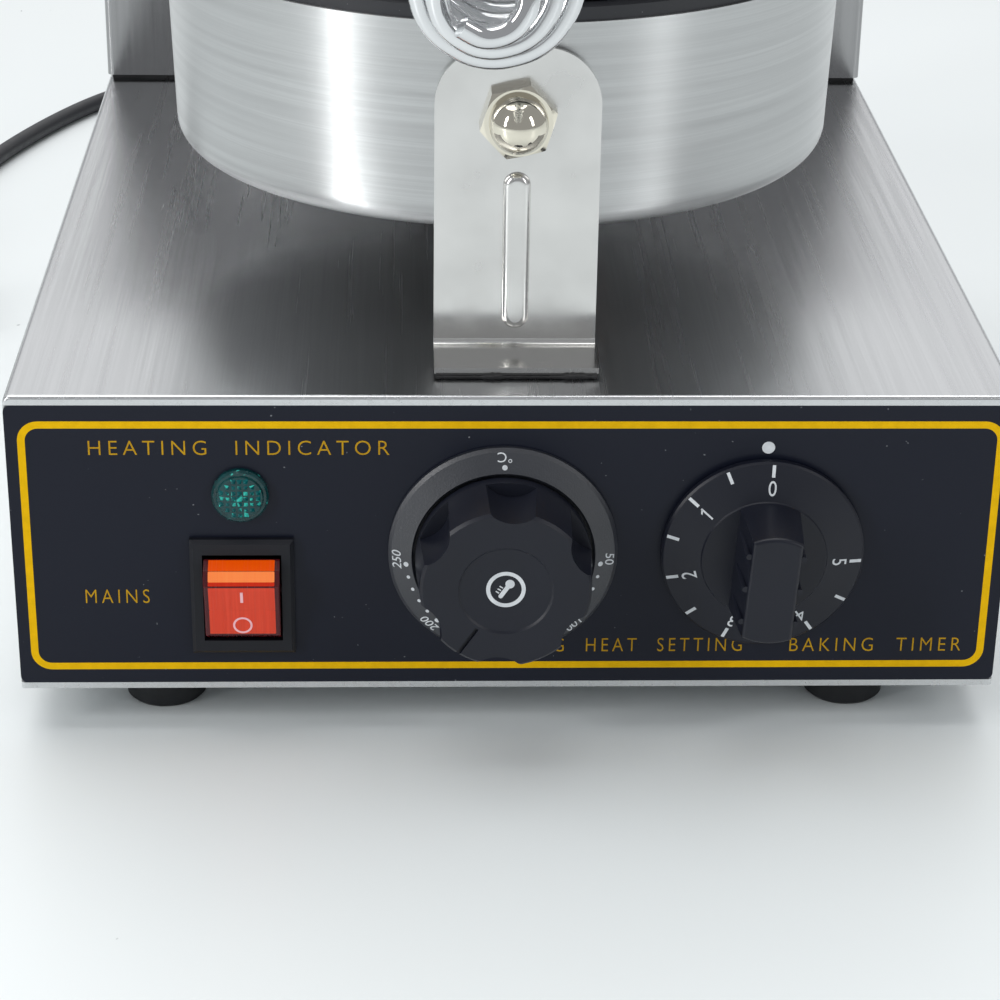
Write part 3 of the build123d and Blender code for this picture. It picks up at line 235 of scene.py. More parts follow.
class Finish:
    """A node-based material with one shader, and helpers that add texture to it."""

    def __init__(self, name, colour, roughness, metallic=0.0, **sockets):
        self.material = bpy.data.materials.new(name)
        self.material.use_nodes = True
        self.tree = self.material.node_tree
        self.shader = self.tree.nodes["Principled BSDF"]
        self.shader.inputs["Base Color"].default_value = (*colour, 1.0)
        self.shader.inputs["Metallic"].default_value = metallic
        self.shader.inputs["Roughness"].default_value = roughness
        for socket, value in sockets.items():
            label = socket.replace("_", " ").title().replace("Ior", "IOR")
            self.shader.inputs[label].default_value = value
        self.colour = colour
        self.coordinates = self.node("ShaderNodeTexCoord").outputs["Object"]
        self.bumps = None

    def node(self, kind, **values):
        """A node with some of its properties set."""
        made = self.tree.nodes.new(kind)
        for key, value in values.items():
            setattr(made, key, value)
        return made

    def join(self, output, entry):
        """Connects an output to an input."""
        self.tree.links.new(output, entry)

    def stretched(self, scale, coordinates=None):
        """Coordinates scaled by a different amount along each axis."""
        mapping = self.node("ShaderNodeMapping")
        mapping.inputs["Scale"].default_value = scale
        self.join(coordinates or self.coordinates, mapping.inputs["Vector"])
        return mapping.outputs["Vector"]

    def around(self, centre):
        """Coordinates of (arc round an upright axis, distance from it, height)."""
        parts = self.node("ShaderNodeSeparateXYZ")
        shift = self.node("ShaderNodeVectorMath", operation="SUBTRACT")
        shift.inputs[1].default_value = centre
        self.join(self.coordinates, shift.inputs[0])
        self.join(shift.outputs[0], parts.inputs[0])
        back = self.node("ShaderNodeMath", operation="MULTIPLY")
        back.inputs[1].default_value = -1.0
        self.join(parts.outputs["Y"], back.inputs[0])
        angle = self.node("ShaderNodeMath", operation="ARCTAN2")
        self.join(parts.outputs["X"], angle.inputs[0])
        self.join(back.outputs[0], angle.inputs[1])
        arc = self.node("ShaderNodeMath", operation="MULTIPLY")
        arc.inputs[1].default_value = pan_radius
        self.join(angle.outputs[0], arc.inputs[0])
        flat = self.node("ShaderNodeCombineXYZ")
        self.join(parts.outputs["X"], flat.inputs["X"])
        self.join(parts.outputs["Y"], flat.inputs["Y"])
        radius = self.node("ShaderNodeVectorMath", operation="LENGTH")
        self.join(flat.outputs[0], radius.inputs[0])
        wrapped = self.node("ShaderNodeCombineXYZ")
        self.join(arc.outputs[0], wrapped.inputs["X"])
        self.join(radius.outputs["Value"], wrapped.inputs["Y"])
        self.join(parts.outputs["Z"], wrapped.inputs["Z"])
        return wrapped.outputs[0]

    def noise(self, scale, detail=3.0, coordinates=None):
        """A noise texture's value."""
        texture = self.node("ShaderNodeTexNoise")
        texture.inputs["Scale"].default_value = scale
        texture.inputs["Detail"].default_value = detail
        self.join(coordinates or self.coordinates, texture.inputs["Vector"])
        return texture.outputs["Fac"]

    def spread(self, value, low, high, start=0.3, end=0.7):
        """A value remapped to another range."""
        remap = self.node("ShaderNodeMapRange")
        remap.inputs["From Min"].default_value = start
        remap.inputs["From Max"].default_value = end
        remap.inputs["To Min"].default_value = low
        remap.inputs["To Max"].default_value = high
        self.join(value, remap.inputs["Value"])
        return remap.outputs["Result"]

    def vary_roughness(self, value, low, high, start=0.3, end=0.7):
        """Roughness that follows a texture."""
        self.join(self.spread(value, low, high, start, end), self.shader.inputs["Roughness"])

    def vary_colour(self, value, other, start=0.3, end=0.7):
        """Colour that runs from what is there so far to another with a texture."""
        entry = self.shader.inputs["Base Color"]
        mix = self.node("ShaderNodeMix", data_type="RGBA")
        before, after, result = mix.inputs[6], mix.inputs[7], mix.outputs[2]
        if entry.is_linked:
            self.join(entry.links[0].from_socket, before)
        else:
            before.default_value = (*self.colour, 1.0)
        after.default_value = (*other, 1.0)
        self.join(self.spread(value, 0.0, 1.0, start, end), mix.inputs["Factor"])
        self.join(result, entry)

    def stretch_gloss(self, amount, way):
        """Highlights drawn out along a direction, across the grain."""
        self.shader.inputs["Anisotropic"].default_value = amount
        tangent = self.node("ShaderNodeCombineXYZ")
        for axis, value in zip("XYZ", way):
            tangent.inputs[axis].default_value = value
        self.join(tangent.outputs[0], self.shader.inputs["Tangent"])

    def bump(self, value, distance, strength):
        """Fine relief added on top of any that is there."""
        bump = self.node("ShaderNodeBump")
        bump.inputs["Distance"].default_value = distance
        bump.inputs["Strength"].default_value = strength
        self.join(value, bump.inputs["Height"])
        if self.bumps:
            self.join(self.bumps, bump.inputs["Normal"])
        self.bumps = bump.outputs["Normal"]
        self.join(self.bumps, self.shader.inputs["Normal"])


def shade(colour, share):
    """A colour made darker or lighter by a share."""
    return [value * share for value in colour]


def brushed_steel(name, colour, roughness, grain, across, gloss, centre=None):
    """Stainless sheet with grain along one axis, or round an upright axis through a centre."""
    finish = Finish(name, colour, roughness=roughness, metallic=1.0)
    wrapped = finish.around(centre) if centre else None
    scale = [steel_grain_width, steel_grain_width, steel_grain_width]
    scale[grain] = steel_grain_length
    lines = finish.noise(1.0, detail=2.0, coordinates=finish.stretched(scale, wrapped))
    coarse = [value * steel_streak_share for value in scale]
    coarse[grain] = steel_grain_length * 0.5
    streaks = finish.noise(1.0, detail=3.0, coordinates=finish.stretched(coarse, wrapped))
    patches = finish.noise(9.0, detail=3.0)
    finish.vary_colour(patches, shade(colour, 0.92))
    finish.vary_colour(streaks, shade(colour, 0.84), start=0.45, end=0.80)
    finish.vary_colour(lines, shade(colour, 0.90), start=0.35, end=0.65)
    finish.vary_roughness(streaks, low=roughness - 0.03, high=roughness + 0.04)
    finish.bump(streaks, distance=0.01 * mm, strength=0.08)
    finish.bump(lines, distance=0.01 * mm, strength=0.14)
    finish.stretch_gloss(gloss, across)
    return finish.material


def polished(name, colour, roughness, scratches):
    """Bright plate or polished sheet, with faint haze and hairline scratches."""
    finish = Finish(name, colour, roughness=roughness, metallic=1.0)
    haze = finish.noise(60.0, detail=4.0)
    hairs = finish.noise(1.0, detail=2.0, coordinates=finish.stretched((900.0, 900.0, 60.0)))
    finish.vary_roughness(haze, low=roughness * 0.6, high=roughness * 1.8)
    finish.bump(hairs, distance=0.006 * mm, strength=scratches)
    finish.vary_colour(haze, shade(colour, 0.93))
    return finish.material


def fine_plastic(name, colour, roughness, relief=0.03 * mm, **sockets):
    """Moulded plastic with a fine spark-eroded grain."""
    finish = Finish(name, colour, roughness=roughness, **sockets)
    grains = finish.noise(2200.0, detail=2.0)
    patches = finish.noise(45.0, detail=3.0)
    finish.bump(grains, distance=relief, strength=0.5)
    finish.vary_roughness(patches, low=roughness - 0.05, high=roughness + 0.07)
    finish.vary_colour(patches, [value * 1.25 + 0.001 for value in colour])
    return finish.material


def panel_film():
    """The printed film on the control panel, with specks of dust."""
    colour = (0.0062, 0.0082, 0.0175)
    faded = (0.0076, 0.0098, 0.0195)
    dust = (0.20, 0.21, 0.23)
    finish = Finish("panel_film", colour, roughness=0.34, specular_ior_level=0.22)
    texture = finish.noise(1500.0, detail=2.0)
    specks = finish.noise(900.0, detail=1.0)
    patches = finish.noise(16.0, detail=3.0)
    finish.bump(texture, distance=0.02 * mm, strength=0.25)
    finish.vary_roughness(patches, low=0.28, high=0.42)
    finish.vary_colour(patches, faded)
    finish.vary_colour(specks, dust, start=0.795, end=0.825)
    return finish.material


def printed_ink(name, colour, other):
    """Screen-printed ink, slightly uneven."""
    finish = Finish(name, colour, roughness=0.42, specular_ior_level=0.1)
    patches = finish.noise(420.0, detail=4.0)
    finish.vary_colour(patches, other)
    finish.vary_roughness(patches, low=0.36, high=0.52)
    finish.bump(patches, distance=0.01 * mm, strength=0.3)
    return finish.material


def rocker_plastic(name, colour, other, painted_glow=0.0, specular=0.12):
    """Translucent plastic with fine upright lines moulded in it, and a painted glow that stands in
    for light caught inside it.
    """
    finish = Finish(
        name,
        colour,
        roughness=0.22,
        specular_ior_level=specular,
        emission_color=(*colour, 1.0),
        emission_strength=painted_glow,
        subsurface_weight=0.25,
        subsurface_radius=(4.0 * mm, 0.8 * mm, 0.4 * mm),
        subsurface_scale=1.0,
    )
    lines = finish.noise(1.0, detail=1.0, coordinates=finish.stretched((1600.0, 40.0, 40.0)))
    finish.vary_colour(lines, other)
    finish.vary_roughness(lines, low=0.16, high=0.30)
    finish.bump(lines, distance=0.02 * mm, strength=0.3)
    return finish.material


def lens_plastic(name, colour, other, coat, glint_start):
    """The tinted plastic of the indicator lens, with painted glints: bright teal specks in its colour
    that stand in for highlights.
    """
    finish = Finish(
        name,
        colour,
        roughness=0.08,
        coat_weight=coat,
        ior=1.49,
        specular_ior_level=0.15,
        transmission_weight=0.25,
    )
    # Bright teal specks scattered by noise: painted glints that stand in for highlights
    painted_glint = (0.05, 0.62, 0.52)
    cloud = finish.noise(500.0, detail=3.0)
    glint_spots = finish.noise(620.0, detail=1.0)
    finish.vary_colour(cloud, other)
    finish.vary_colour(glint_spots, painted_glint, start=glint_start, end=glint_start + 0.05)
    finish.vary_roughness(cloud, low=0.05, high=0.15)
    return finish.material


def nonstick_coating():
    """The plates' baked-on coating, with fine pits and pale flecks."""
    colour = (0.012, 0.013, 0.017)
    worn = (0.020, 0.021, 0.026)
    fleck = (0.16, 0.16, 0.17)
    finish = Finish("nonstick_coating", colour, roughness=0.42)
    pits = finish.noise(1300.0, detail=4.0)
    flecks = finish.noise(1700.0, detail=1.0)
    patches = finish.noise(30.0, detail=3.0)
    finish.bump(pits, distance=0.06 * mm, strength=0.6)
    finish.vary_roughness(patches, low=0.34, high=0.52)
    finish.vary_colour(patches, worn)
    finish.vary_colour(flecks, fleck, start=0.76, end=0.80)
    return finish.material


def rubber(name, colour, roughness):
    """Black rubber or flexible sheath, faintly mottled."""
    finish = Finish(name, colour, roughness=roughness)
    mottle = finish.noise(260.0, detail=4.0)
    grain = finish.noise(1400.0, detail=3.0)
    finish.bump(grain, distance=0.05 * mm, strength=0.5)
    finish.vary_colour(mottle, [value * 1.7 + 0.002 for value in colour])
    finish.vary_roughness(mottle, low=roughness - 0.08, high=roughness + 0.08)
    return finish.material


def plated(name, colour, roughness):
    """Zinc-plated, galvanised or cast metal with a mottled surface."""
    finish = Finish(name, colour, roughness=roughness, metallic=1.0)
    spangle = finish.noise(160.0, detail=4.0)
    grain = finish.noise(900.0, detail=3.0)
    finish.vary_colour(spangle, shade(colour, 0.78))
    finish.vary_roughness(spangle, low=roughness - 0.10, high=roughness + 0.12)
    finish.bump(grain, distance=0.02 * mm, strength=0.4)
    return finish.material


def ceramic_fibre():
    """White matted fibre, with painted shade over its matting."""
    colour = (0.78, 0.77, 0.73)
    # A darker copy of the white: painted shade, laid where the matting noise is high
    painted_matting_shade = (0.62, 0.60, 0.55)
    finish = Finish("ceramic_fibre", colour, roughness=0.95)
    matting = finish.noise(1.0, detail=5.0, coordinates=finish.stretched((420.0, 420.0, 900.0)))
    finish.bump(matting, distance=0.6 * mm, strength=0.8)
    finish.vary_colour(matting, painted_matting_shade)
    return finish.material


def wire_sheath():
    """Silicone-sheathed wires, cream or blue by where they run."""
    cream = (0.70, 0.66, 0.58)
    blue = (0.12, 0.20, 0.42)
    finish = Finish("wire_sheath", cream, roughness=0.5)
    regions = finish.noise(22.0, detail=0.0)
    grain = finish.noise(1200.0, detail=2.0)
    finish.vary_colour(regions, blue, start=0.49, end=0.51)
    finish.bump(grain, distance=0.03 * mm, strength=0.4)
    return finish.material


def floor_surface():
    """The pale tabletop, with a few dark specks."""
    colour = (0.83, 0.865, 0.865)
    dull = (0.80, 0.84, 0.845)
    speck = (0.35, 0.37, 0.38)
    finish = Finish("floor_surface", colour, roughness=0.38)
    cloud = finish.noise(3.0, detail=3.0)
    specks = finish.noise(150.0, detail=1.0)
    ripples = finish.noise(90.0, detail=3.0)
    finish.vary_colour(cloud, dull)
    finish.vary_colour(specks, speck, start=0.800, end=0.812)
    finish.vary_roughness(cloud, low=0.30, high=0.45)
    finish.bump(ripples, distance=0.1 * mm, strength=0.15)
    return finish.material


sideways, upward = (1.0, 0.0, 0.0), (0.0, 0.0, 1.0)
along_x, along_y, along_z = 0, 1, 2

sheet_steel = brushed_steel("sheet_steel", (0.70, 0.71, 0.72), 0.25, along_y, sideways, gloss=0.9)
# A darker copy of the sheet steel for the column, hinge, lid arm and rear bracket: painted shade,
# with a glossier finish and grain that runs up and down
shaded_upright_steel = brushed_steel(
    "shaded_upright_steel", (0.39, 0.39, 0.395), 0.17, along_z, sideways, gloss=0.4
)
pan_steel = brushed_steel(
    "pan_steel", (0.60, 0.61, 0.61), 0.32, along_x, upward, gloss=0.87, centre=tuple(pan_centre)
)
polished_steel = polished("polished_steel", (0.71, 0.705, 0.69), 0.16, scratches=0.3)
nickel = polished("nickel", (0.78, 0.74, 0.63), 0.05, scratches=0.1)
chrome = polished("chrome", (0.74, 0.75, 0.76), 0.09, scratches=0.15)
turned_steel = polished("turned_steel", (0.55, 0.55, 0.55), 0.22, scratches=0.8)
zinc = plated("zinc", (0.60, 0.61, 0.62), 0.35)
galvanised = plated("galvanised", (0.55, 0.57, 0.59), 0.42)
bronze = plated("bronze", (0.50, 0.33, 0.14), 0.40)
brass = plated("brass", (0.72, 0.58, 0.30), 0.28)
copper = plated("copper", (0.65, 0.30, 0.18), 0.30)
heater_sheath = plated("heater_sheath", (0.20, 0.18, 0.17), 0.50)
film = panel_film()
gold_line = printed_ink("gold_line", (0.86, 0.50, 0.0), (0.76, 0.44, 0.0))
gold_text = printed_ink("gold_text", (0.56, 0.32, 0.010), (0.46, 0.25, 0.010))
white_ink = printed_ink("white_ink", (0.74, 0.77, 0.80), (0.62, 0.65, 0.68))
pink_ink = printed_ink("pink_ink", (0.98, 0.58, 0.62), (0.92, 0.50, 0.54))
red_plastic = rocker_plastic(
    "red_plastic", (0.085, 0.006, 0.010), (0.060, 0.004, 0.007), specular=0.4
)
# The rocker's faces carry a painted glow with no lamp behind it; the amber and orange copies of the
# red are painted highlights on the upper end, which faces the light above
red_face = rocker_plastic("red_face", (0.76, 0.070, 0.036), (0.68, 0.056, 0.028), painted_glow=0.12)
red_edge = rocker_plastic("red_edge", (0.66, 0.030, 0.010), (0.60, 0.024, 0.008), painted_glow=0.10)
amber_highlight = rocker_plastic("amber_highlight", (0.92, 0.22, 0.060), (0.88, 0.19, 0.050), painted_glow=0.28)
orange_highlight = rocker_plastic("orange_highlight", (0.86, 0.080, 0.0), (0.80, 0.065, 0.0), painted_glow=0.22)
# The lens's rim and its faceted middle, each with painted glints
lens_rim = lens_plastic(
    "lens_rim", (0.002, 0.034, 0.038), (0.002, 0.075, 0.080), coat=0.5, glint_start=0.70
)
lens_cells = lens_plastic(
    "lens_cells", (0.002, 0.075, 0.085), (0.003, 0.150, 0.155), coat=0.0, glint_start=0.56
)
switch_plastic = fine_plastic(
    "switch_plastic", (0.0052, 0.0060, 0.0095), 0.40, relief=0.02 * mm, specular_ior_level=0.3
)
# The bezel's black plastic, lighter than the knob's: a painted sheen that stands in for the highlight
# on the bezel
dial_plastic_painted_sheen = fine_plastic(
    "dial_plastic_painted_sheen", (0.0100, 0.0125, 0.0200), 0.46, relief=0.12 * mm, specular_ior_level=1.0
)
knob_plastic = fine_plastic(
    "knob_plastic", (0.0058, 0.0072, 0.0140), 0.38, relief=0.02 * mm, specular_ior_level=0.36
)
pale_plastic = fine_plastic("pale_plastic", (0.62, 0.60, 0.54), 0.50)
cord_sheath = rubber("cord_sheath", (0.008, 0.009, 0.012), 0.45)
foot_rubber = rubber("foot_rubber", (0.0020, 0.0028, 0.0045), 0.62)
sealant = rubber("sealant", (0.006, 0.006, 0.007), 0.40)
coating = nonstick_coating()
fibre = ceramic_fibre()
sheaths = wire_sheath()

node_finishes = {
    "base_housing": sheet_steel,
    "bottom_cover": galvanised,
    "base_fasteners": zinc,
    "control_panel": film,
    "lamp_lens": lens_rim,
    "lamp_body": pale_plastic,
    "panel_nuts": zinc,
    "switch_housing": switch_plastic,
    "rocker_button": red_plastic,
    "thermostat_bezel": dial_plastic_painted_sheen,
    "thermostat_body": zinc,
    "thermostat_screws": zinc,
    "thermostat_shaft": turned_steel,
    "thermostat_knob": knob_plastic,
    "thermostat_bulb": copper,
    "timer_body": pale_plastic,
    "timer_shaft": turned_steel,
    "timer_knob": knob_plastic,
    "terminal_block": pale_plastic,
    "wiring_loom": sheaths,
    "front_bracket": polished_steel,
    "bracket_sealant": sealant,
    "front_bolt": zinc,
    "front_acorn_nut": nickel,
    "bracket_fasteners": zinc,
    "rear_bracket": shaded_upright_steel,
    "lower_pan": pan_steel,
    "lower_plate": coating,
    "lower_heating_element": heater_sheath,
    "lower_insulation": fibre,
    "lower_plate_screws": zinc,
    "lower_lead_sleeve": fibre,
    "column_housing": shaded_upright_steel,
    "column_gasket": sealant,
    "column_cover": shaded_upright_steel,
    "column_fasteners": zinc,
    "hinge_bracket": shaded_upright_steel,
    "hinge_tube": turned_steel,
    "hinge_clips": zinc,
    "hinge_bushes": bronze,
    "lid_arm": shaded_upright_steel,
    "upper_pan": pan_steel,
    "upper_plate": coating,
    "upper_heating_element": heater_sheath,
    "upper_insulation": fibre,
    "lid_fasteners": zinc,
    "handle_mount": chrome,
    "handle_rod": chrome,
    "handle_spring_grip": chrome,
    "cord_gland": cord_sheath,
    "plug_body": cord_sheath,
    "plug_pins": brass,
    "foot_front_left": foot_rubber,
    "foot_front_right": foot_rubber,
    "foot_rear_left": foot_rubber,
    "foot_rear_right": foot_rubber,
}


def finish_nodes():
    """Gives each CAD node its finish."""
    for name, material in node_finishes.items():
        mesh = frame["nodes"][name].data
        mesh.materials.clear()
        mesh.materials.append(material)


# Camera and light


def make_camera():
    """The camera at the height, distance and angle that show the panel and the lower pan."""
    ahead = Vector((math.sin(camera_yaw), math.cos(camera_yaw), 0.0))
    level = Vector((math.cos(camera_yaw), -math.sin(camera_yaw), 0.0))
    forward = ahead * math.cos(camera_pitch) - Vector((0.0, 0.0, math.sin(camera_pitch)))
    rise = level.cross(forward)
    right = level * math.cos(camera_roll) + rise * math.sin(camera_roll)
    up = rise * math.cos(camera_roll) - level * math.sin(camera_roll)
    turn = Matrix((right, up, -forward)).transposed()
    data = bpy.data.cameras.new("camera")
    data.lens = camera_lens
    data.sensor_width = camera_sensor
    data.clip_start = 0.01
    camera = bpy.data.objects.new("camera", data)
    camera.matrix_world = Matrix.Translation(camera_place) @ turn.to_4x4()
    bpy.context.scene.collection.objects.link(camera)
    bpy.context.scene.camera = camera


def area_light(name, place, width, height, power):
    """A soft rectangular light that points at the object."""
    data = bpy.data.lights.new(name, "AREA")
    data.shape = "RECTANGLE"
    data.size = width
    data.size_y = height
    data.energy = power
    light = bpy.data.objects.new(name, data)
    light.location = place
    way = Vector(light_target) - Vector(place)
    light.rotation_euler = way.to_track_quat("-Z", "Y").to_euler()
    bpy.context.scene.collection.objects.link(light)


def make_studio():
    """A pale floor and soft light from above, from both front corners and from behind."""
    bpy.ops.mesh.primitive_plane_add(size=floor_size, location=(0.0, 0.0, 0.0))
    floor = bpy.context.object
    floor.name = "floor"
    floor.data.materials.append(floor_surface())
    world = bpy.data.worlds.new("world")
    world.use_nodes = True
    background = world.node_tree.nodes["Background"]
    background.inputs["Color"].default_value = sky_colour
    background.inputs["Strength"].default_value = sky_strength
    bpy.context.scene.world = world
    data = bpy.data.lights.new("overhead", "SUN")
    data.energy = overhead_energy
    data.angle = overhead_softness
    overhead = bpy.data.objects.new("overhead", data)
    overhead.rotation_euler = overhead_lean
    bpy.context.scene.collection.objects.link(overhead)
    area_light("front_left", (-1.33, -0.90, 0.75), width=0.16, height=1.0, power=12.0)
    area_light("front_right", (1.20, -0.95, 0.80), width=0.25, height=0.9, power=4.0)
    area_light("back", (0.0, 1.8, 1.10), width=3.6, height=1.2, power=8.0)
    bpy.context.scene.view_settings.view_transform = "Standard"


make_camera()
make_studio()


# Power cord


def cord_route():
    """The uncoiled stretch of the cord, from its boot to the coil, in millimetres."""
    return [
        (-45.0, 212.0, 42.0),
        (-45.0, 237.0, 41.0),
        (-45.0, 262.0, 30.0),
        (-44.0, 285.0, 14.0),
        (-42.5, 312.0, 3.25),
        (-40.0, 346.0, 3.25),
        (-41.0, 381.0, 3.25),
        (-50.0, 414.0, 3.25),
        (-71.0, 438.0, 3.25),
        (-102.0, 441.0, 3.25),
        (-130.0, 425.0, 3.25),
        (-152.0, 400.0, 3.25),
        (-169.5, 367.0, 3.25),
        (-184.0, 330.0, 3.25),
        (-194.0, 293.0, 3.25),
        (-195.8, 257.0, 3.25),
        (-195.4, 226.0, 3.25),
    ]


def coil_route():
    """Two turns wound inward on the floor and two wound back out on top of them."""
    overlap = math.cos(math.pi / coil_points)
    points = []
    for step in range(1, 4 * coil_points):
        turns = step / coil_points
        radius = coil_outer_turn - coil_step * min(turns, 4 - turns)
        lift = min(max((turns - coil_climb_start) / coil_climb, 0.0), 1.0)
        height = cord_radius + coil_layer * lift
        angle = -2 * math.pi * turns
        flat = Vector((math.cos(angle), math.sin(angle), 0.0)) * radius / overlap
        points.append(coil_centre + flat + Vector((0.0, 0.0, height)))
    return points


def make_cord():
    """The whole cord on one smooth line, with its coil, from its boot to the plug."""
    points = [Vector(point) * mm for point in cord_route()]
    points += coil_route()
    edge = coil_centre.x + coil_outer_turn
    top = cord_radius + coil_layer
    points += [
        Vector((edge, coil_centre.y, top)),
        Vector((edge, coil_centre.y - plug_lead, top)),
        Vector((edge, coil_centre.y - plug_reach, plug_height)),
    ]
    curve = bpy.data.curves.new("cord", "CURVE")
    curve.dimensions = "3D"
    curve.bevel_depth = cord_radius
    curve.bevel_resolution = 6
    curve.resolution_u = 8
    curve.use_fill_caps = True
    spline = curve.splines.new("NURBS")
    spline.points.add(len(points) - 1)
    for knot, point in zip(spline.points, points):
        knot.co = (*point, 1.0)
    spline.order_u = 3
    spline.use_endpoint_u = True
    cord = link("cord", curve, "machine", cord_sheath)
    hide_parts("power_cord", "cord_coil")
    return cord


def make_tie():
    """The twisted wire tie round the coil."""
    low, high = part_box("cord_tie")
    middle = (low + high) / 2
    half = (high - low) / 2
    place = facing_front(middle.x, middle.y, half.z)
    wire, corner, half_depth = 0.6 * mm, 4.0 * mm, 2.0 * mm
    tail_length, tail_height, tail_thickness = 0.8 * mm, 1.0 * mm, 1.0 * mm
    tail_middle, tail_level = half.x - wire + tail_length / 2, 5.5 * mm - half.z
    tail_gap = 0.1 * mm

    def build(bm):
        outer = round_outline(half.x, half.z, corner)
        inner = round_outline(half.x - wire, half.z - wire, corner - wire)
        add_band(bm, outer, inner, -half_depth, half_depth, place)
        tail = bar_points(tail_length / 2, tail_height / 2, tail_middle, tail_level)
        near = half_depth + tail_gap
        far = near + tail_thickness
        add_prism(bm, tail, -far, -near, place)
        add_prism(bm, tail, near, far, place)

    tie = link("tie", mesh_from(build, "tie"), "machine", cord_sheath)
    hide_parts("cord_tie")
    return smooth(tie)


cord = make_cord()
tie = make_tie()


# Control panel


def panel_frame_line():
    """The gold line round the panel."""
    half_height = (frame_high - frame_low) / 2
    inner_side, inner_height = frame_side - frame_line, half_height - frame_line
    place = facing_front(0.0, front, frame_low + half_height)

    def build(bm):
        outer = round_outline(frame_side, half_height, frame_corner)
        inner = round_outline(inner_side, inner_height, frame_corner - frame_line)
        add_band(bm, outer, inner, -ink, ink, place)

    line = link("panel_frame_line", mesh_from(build, "panel_frame_line"), "machine", gold_line)


def panel_words():
    """Generic labels by the controls: the words, their middle on the panel and their width, in mm."""
    labels = [
        ("HEATING  INDICATOR", -65.0, 64.8, 71.0),
        ("MAINS", -95.3, 25.4, 15.4),
        ("BAKING  HEAT  SETTING", 25.7, 11.7, 62.6),
        ("BAKING  TIMER", 90.0, 11.6, 42.4),
    ]

    def build(bm):
        for text, x, z, width in labels:
            place = facing_front(x * mm, front, base_bottom + z * mm)
            add_lettering(
                bm, text, gold_capital, place, width * mm, spacing=gold_spacing, thin=gold_thinning
            )

    piece = link("panel_words", mesh_from(build, "panel_words"), "machine", gold_text)


def index_dot():
    """The dot on the panel that the timer's scale is read against."""
    place = facing_front(timer.x + index_dot_shift, front, base_bottom + index_dot_height)

    def build(bm):
        add_prism(bm, circle_points(index_dot_radius), -ink, ink, place)

    dot = link("index_dot", mesh_from(build, "index_dot"), "machine", white_ink)


# Dials


def on_dial(axis, angle, radius, height, slope=0.0):
    """A frame on a dial's face at a clock angle: X clockwise, Y outward, and Z off the face."""
    centre = facing_front(axis.x, front - height, axis.z)
    spoke = Matrix.Rotation(-angle, 4, "Z") @ Matrix.Translation((0.0, radius, 0.0))
    return centre @ spoke @ Matrix.Rotation(-slope, 4, "X")


def cone_height(radius, outer, inner):
    """The height of a cone's face at a radius, from its (radius, height) at both edges."""
    share = (outer[0] - radius) / (outer[0] - inner[0])
    return outer[1] + (inner[1] - outer[1]) * share


def heat_scale():
    """The printed scale on the thermostat's ring: figures with their feet to the middle, and dots."""
    outer, inner = (26.85 * mm, 2.0 * mm), (22.1 * mm, 4.0 * mm)
    slope = math.atan2(inner[1] - outer[1], outer[0] - inner[0])
    figures = [("50", 92.5), ("100", 137.5), ("150", 180.0), ("200", 223.5), ("250", 267.5)]
    figure_height, unit_height, figure_slant = 2.35 * mm, 2.5 * mm, 0.15
    text_radius, dot_radius = 25.65 * mm, 23.45 * mm
    large_dot, small_dot = 0.64 * mm, 0.45 * mm
    large_dot_angles = (0.0, 95.0, 137.5, 180.0, 222.5, 265.0)
    first_dot, dot_step = 95.0, 8.5
    text_level = cone_height(text_radius, outer, inner)
    dot_level = cone_height(dot_radius, outer, inner)

    def build(bm):
        for text, angle in figures:
            place = on_dial(thermostat, math.radians(angle), text_radius, text_level, slope)
            add_lettering(bm, text, figure_height, place, slant=figure_slant)
        top = on_dial(thermostat, 0.0, text_radius, text_level, slope)
        add_lettering(bm, "\u00b0C", unit_height, top @ Matrix.Rotation(math.pi, 4, "Z"))
        dots = [(angle, large_dot) for angle in large_dot_angles]
        dots += [(first_dot + dot_step * step, small_dot) for step in range(20) if step % 5]
        for angle, size in dots:
            place = on_dial(thermostat, math.radians(angle), dot_radius, dot_level, slope)
            add_prism(bm, circle_points(size, 20), -ink, ink, place)

    scale = link("heat_scale", mesh_from(build, "heat_scale"), "machine", white_ink)


def heat_symbol():
    """A thermometer in a ring on the thermostat knob's cap."""
    low, high = 20.40 * mm, 20.75 * mm
    ring_outer, ring_inner = 4.65 * mm, 3.70 * mm
    bulb_radius, bulb_drop = 1.10 * mm, 1.7 * mm
    stem_side, stem_half_height, stem_corner = 0.52 * mm, 1.9 * mm, 0.5 * mm
    stem_rise, stem_proud = 0.75 * mm, 0.02 * mm
    mark_side, mark_half_height, mark_shift = 0.45 * mm, 0.14 * mm, 1.25 * mm
    first_mark, mark_step = 0.1 * mm, 0.8 * mm
    place = on_dial(thermostat, thermostat_rest, 0.0, 0.0)

    def build(bm):
        add_band(bm, circle_points(ring_outer, 48), circle_points(ring_inner, 48), low, high, place)
        add_prism(bm, circle_points(bulb_radius, 32, 0.0, -bulb_drop), low, high, place)
        stem = round_outline(stem_side, stem_half_height, stem_corner)
        add_prism(bm, [(x, y + stem_rise) for x, y in stem], low, high + stem_proud, place)
        for step in range(3):
            rise = first_mark + mark_step * step
            mark = bar_points(mark_side, mark_half_height, mark_shift, rise)
            add_prism(bm, mark, low, high, place)

    symbol = link("heat_symbol", mesh_from(build, "heat_symbol"), "thermostat_dial", white_ink)


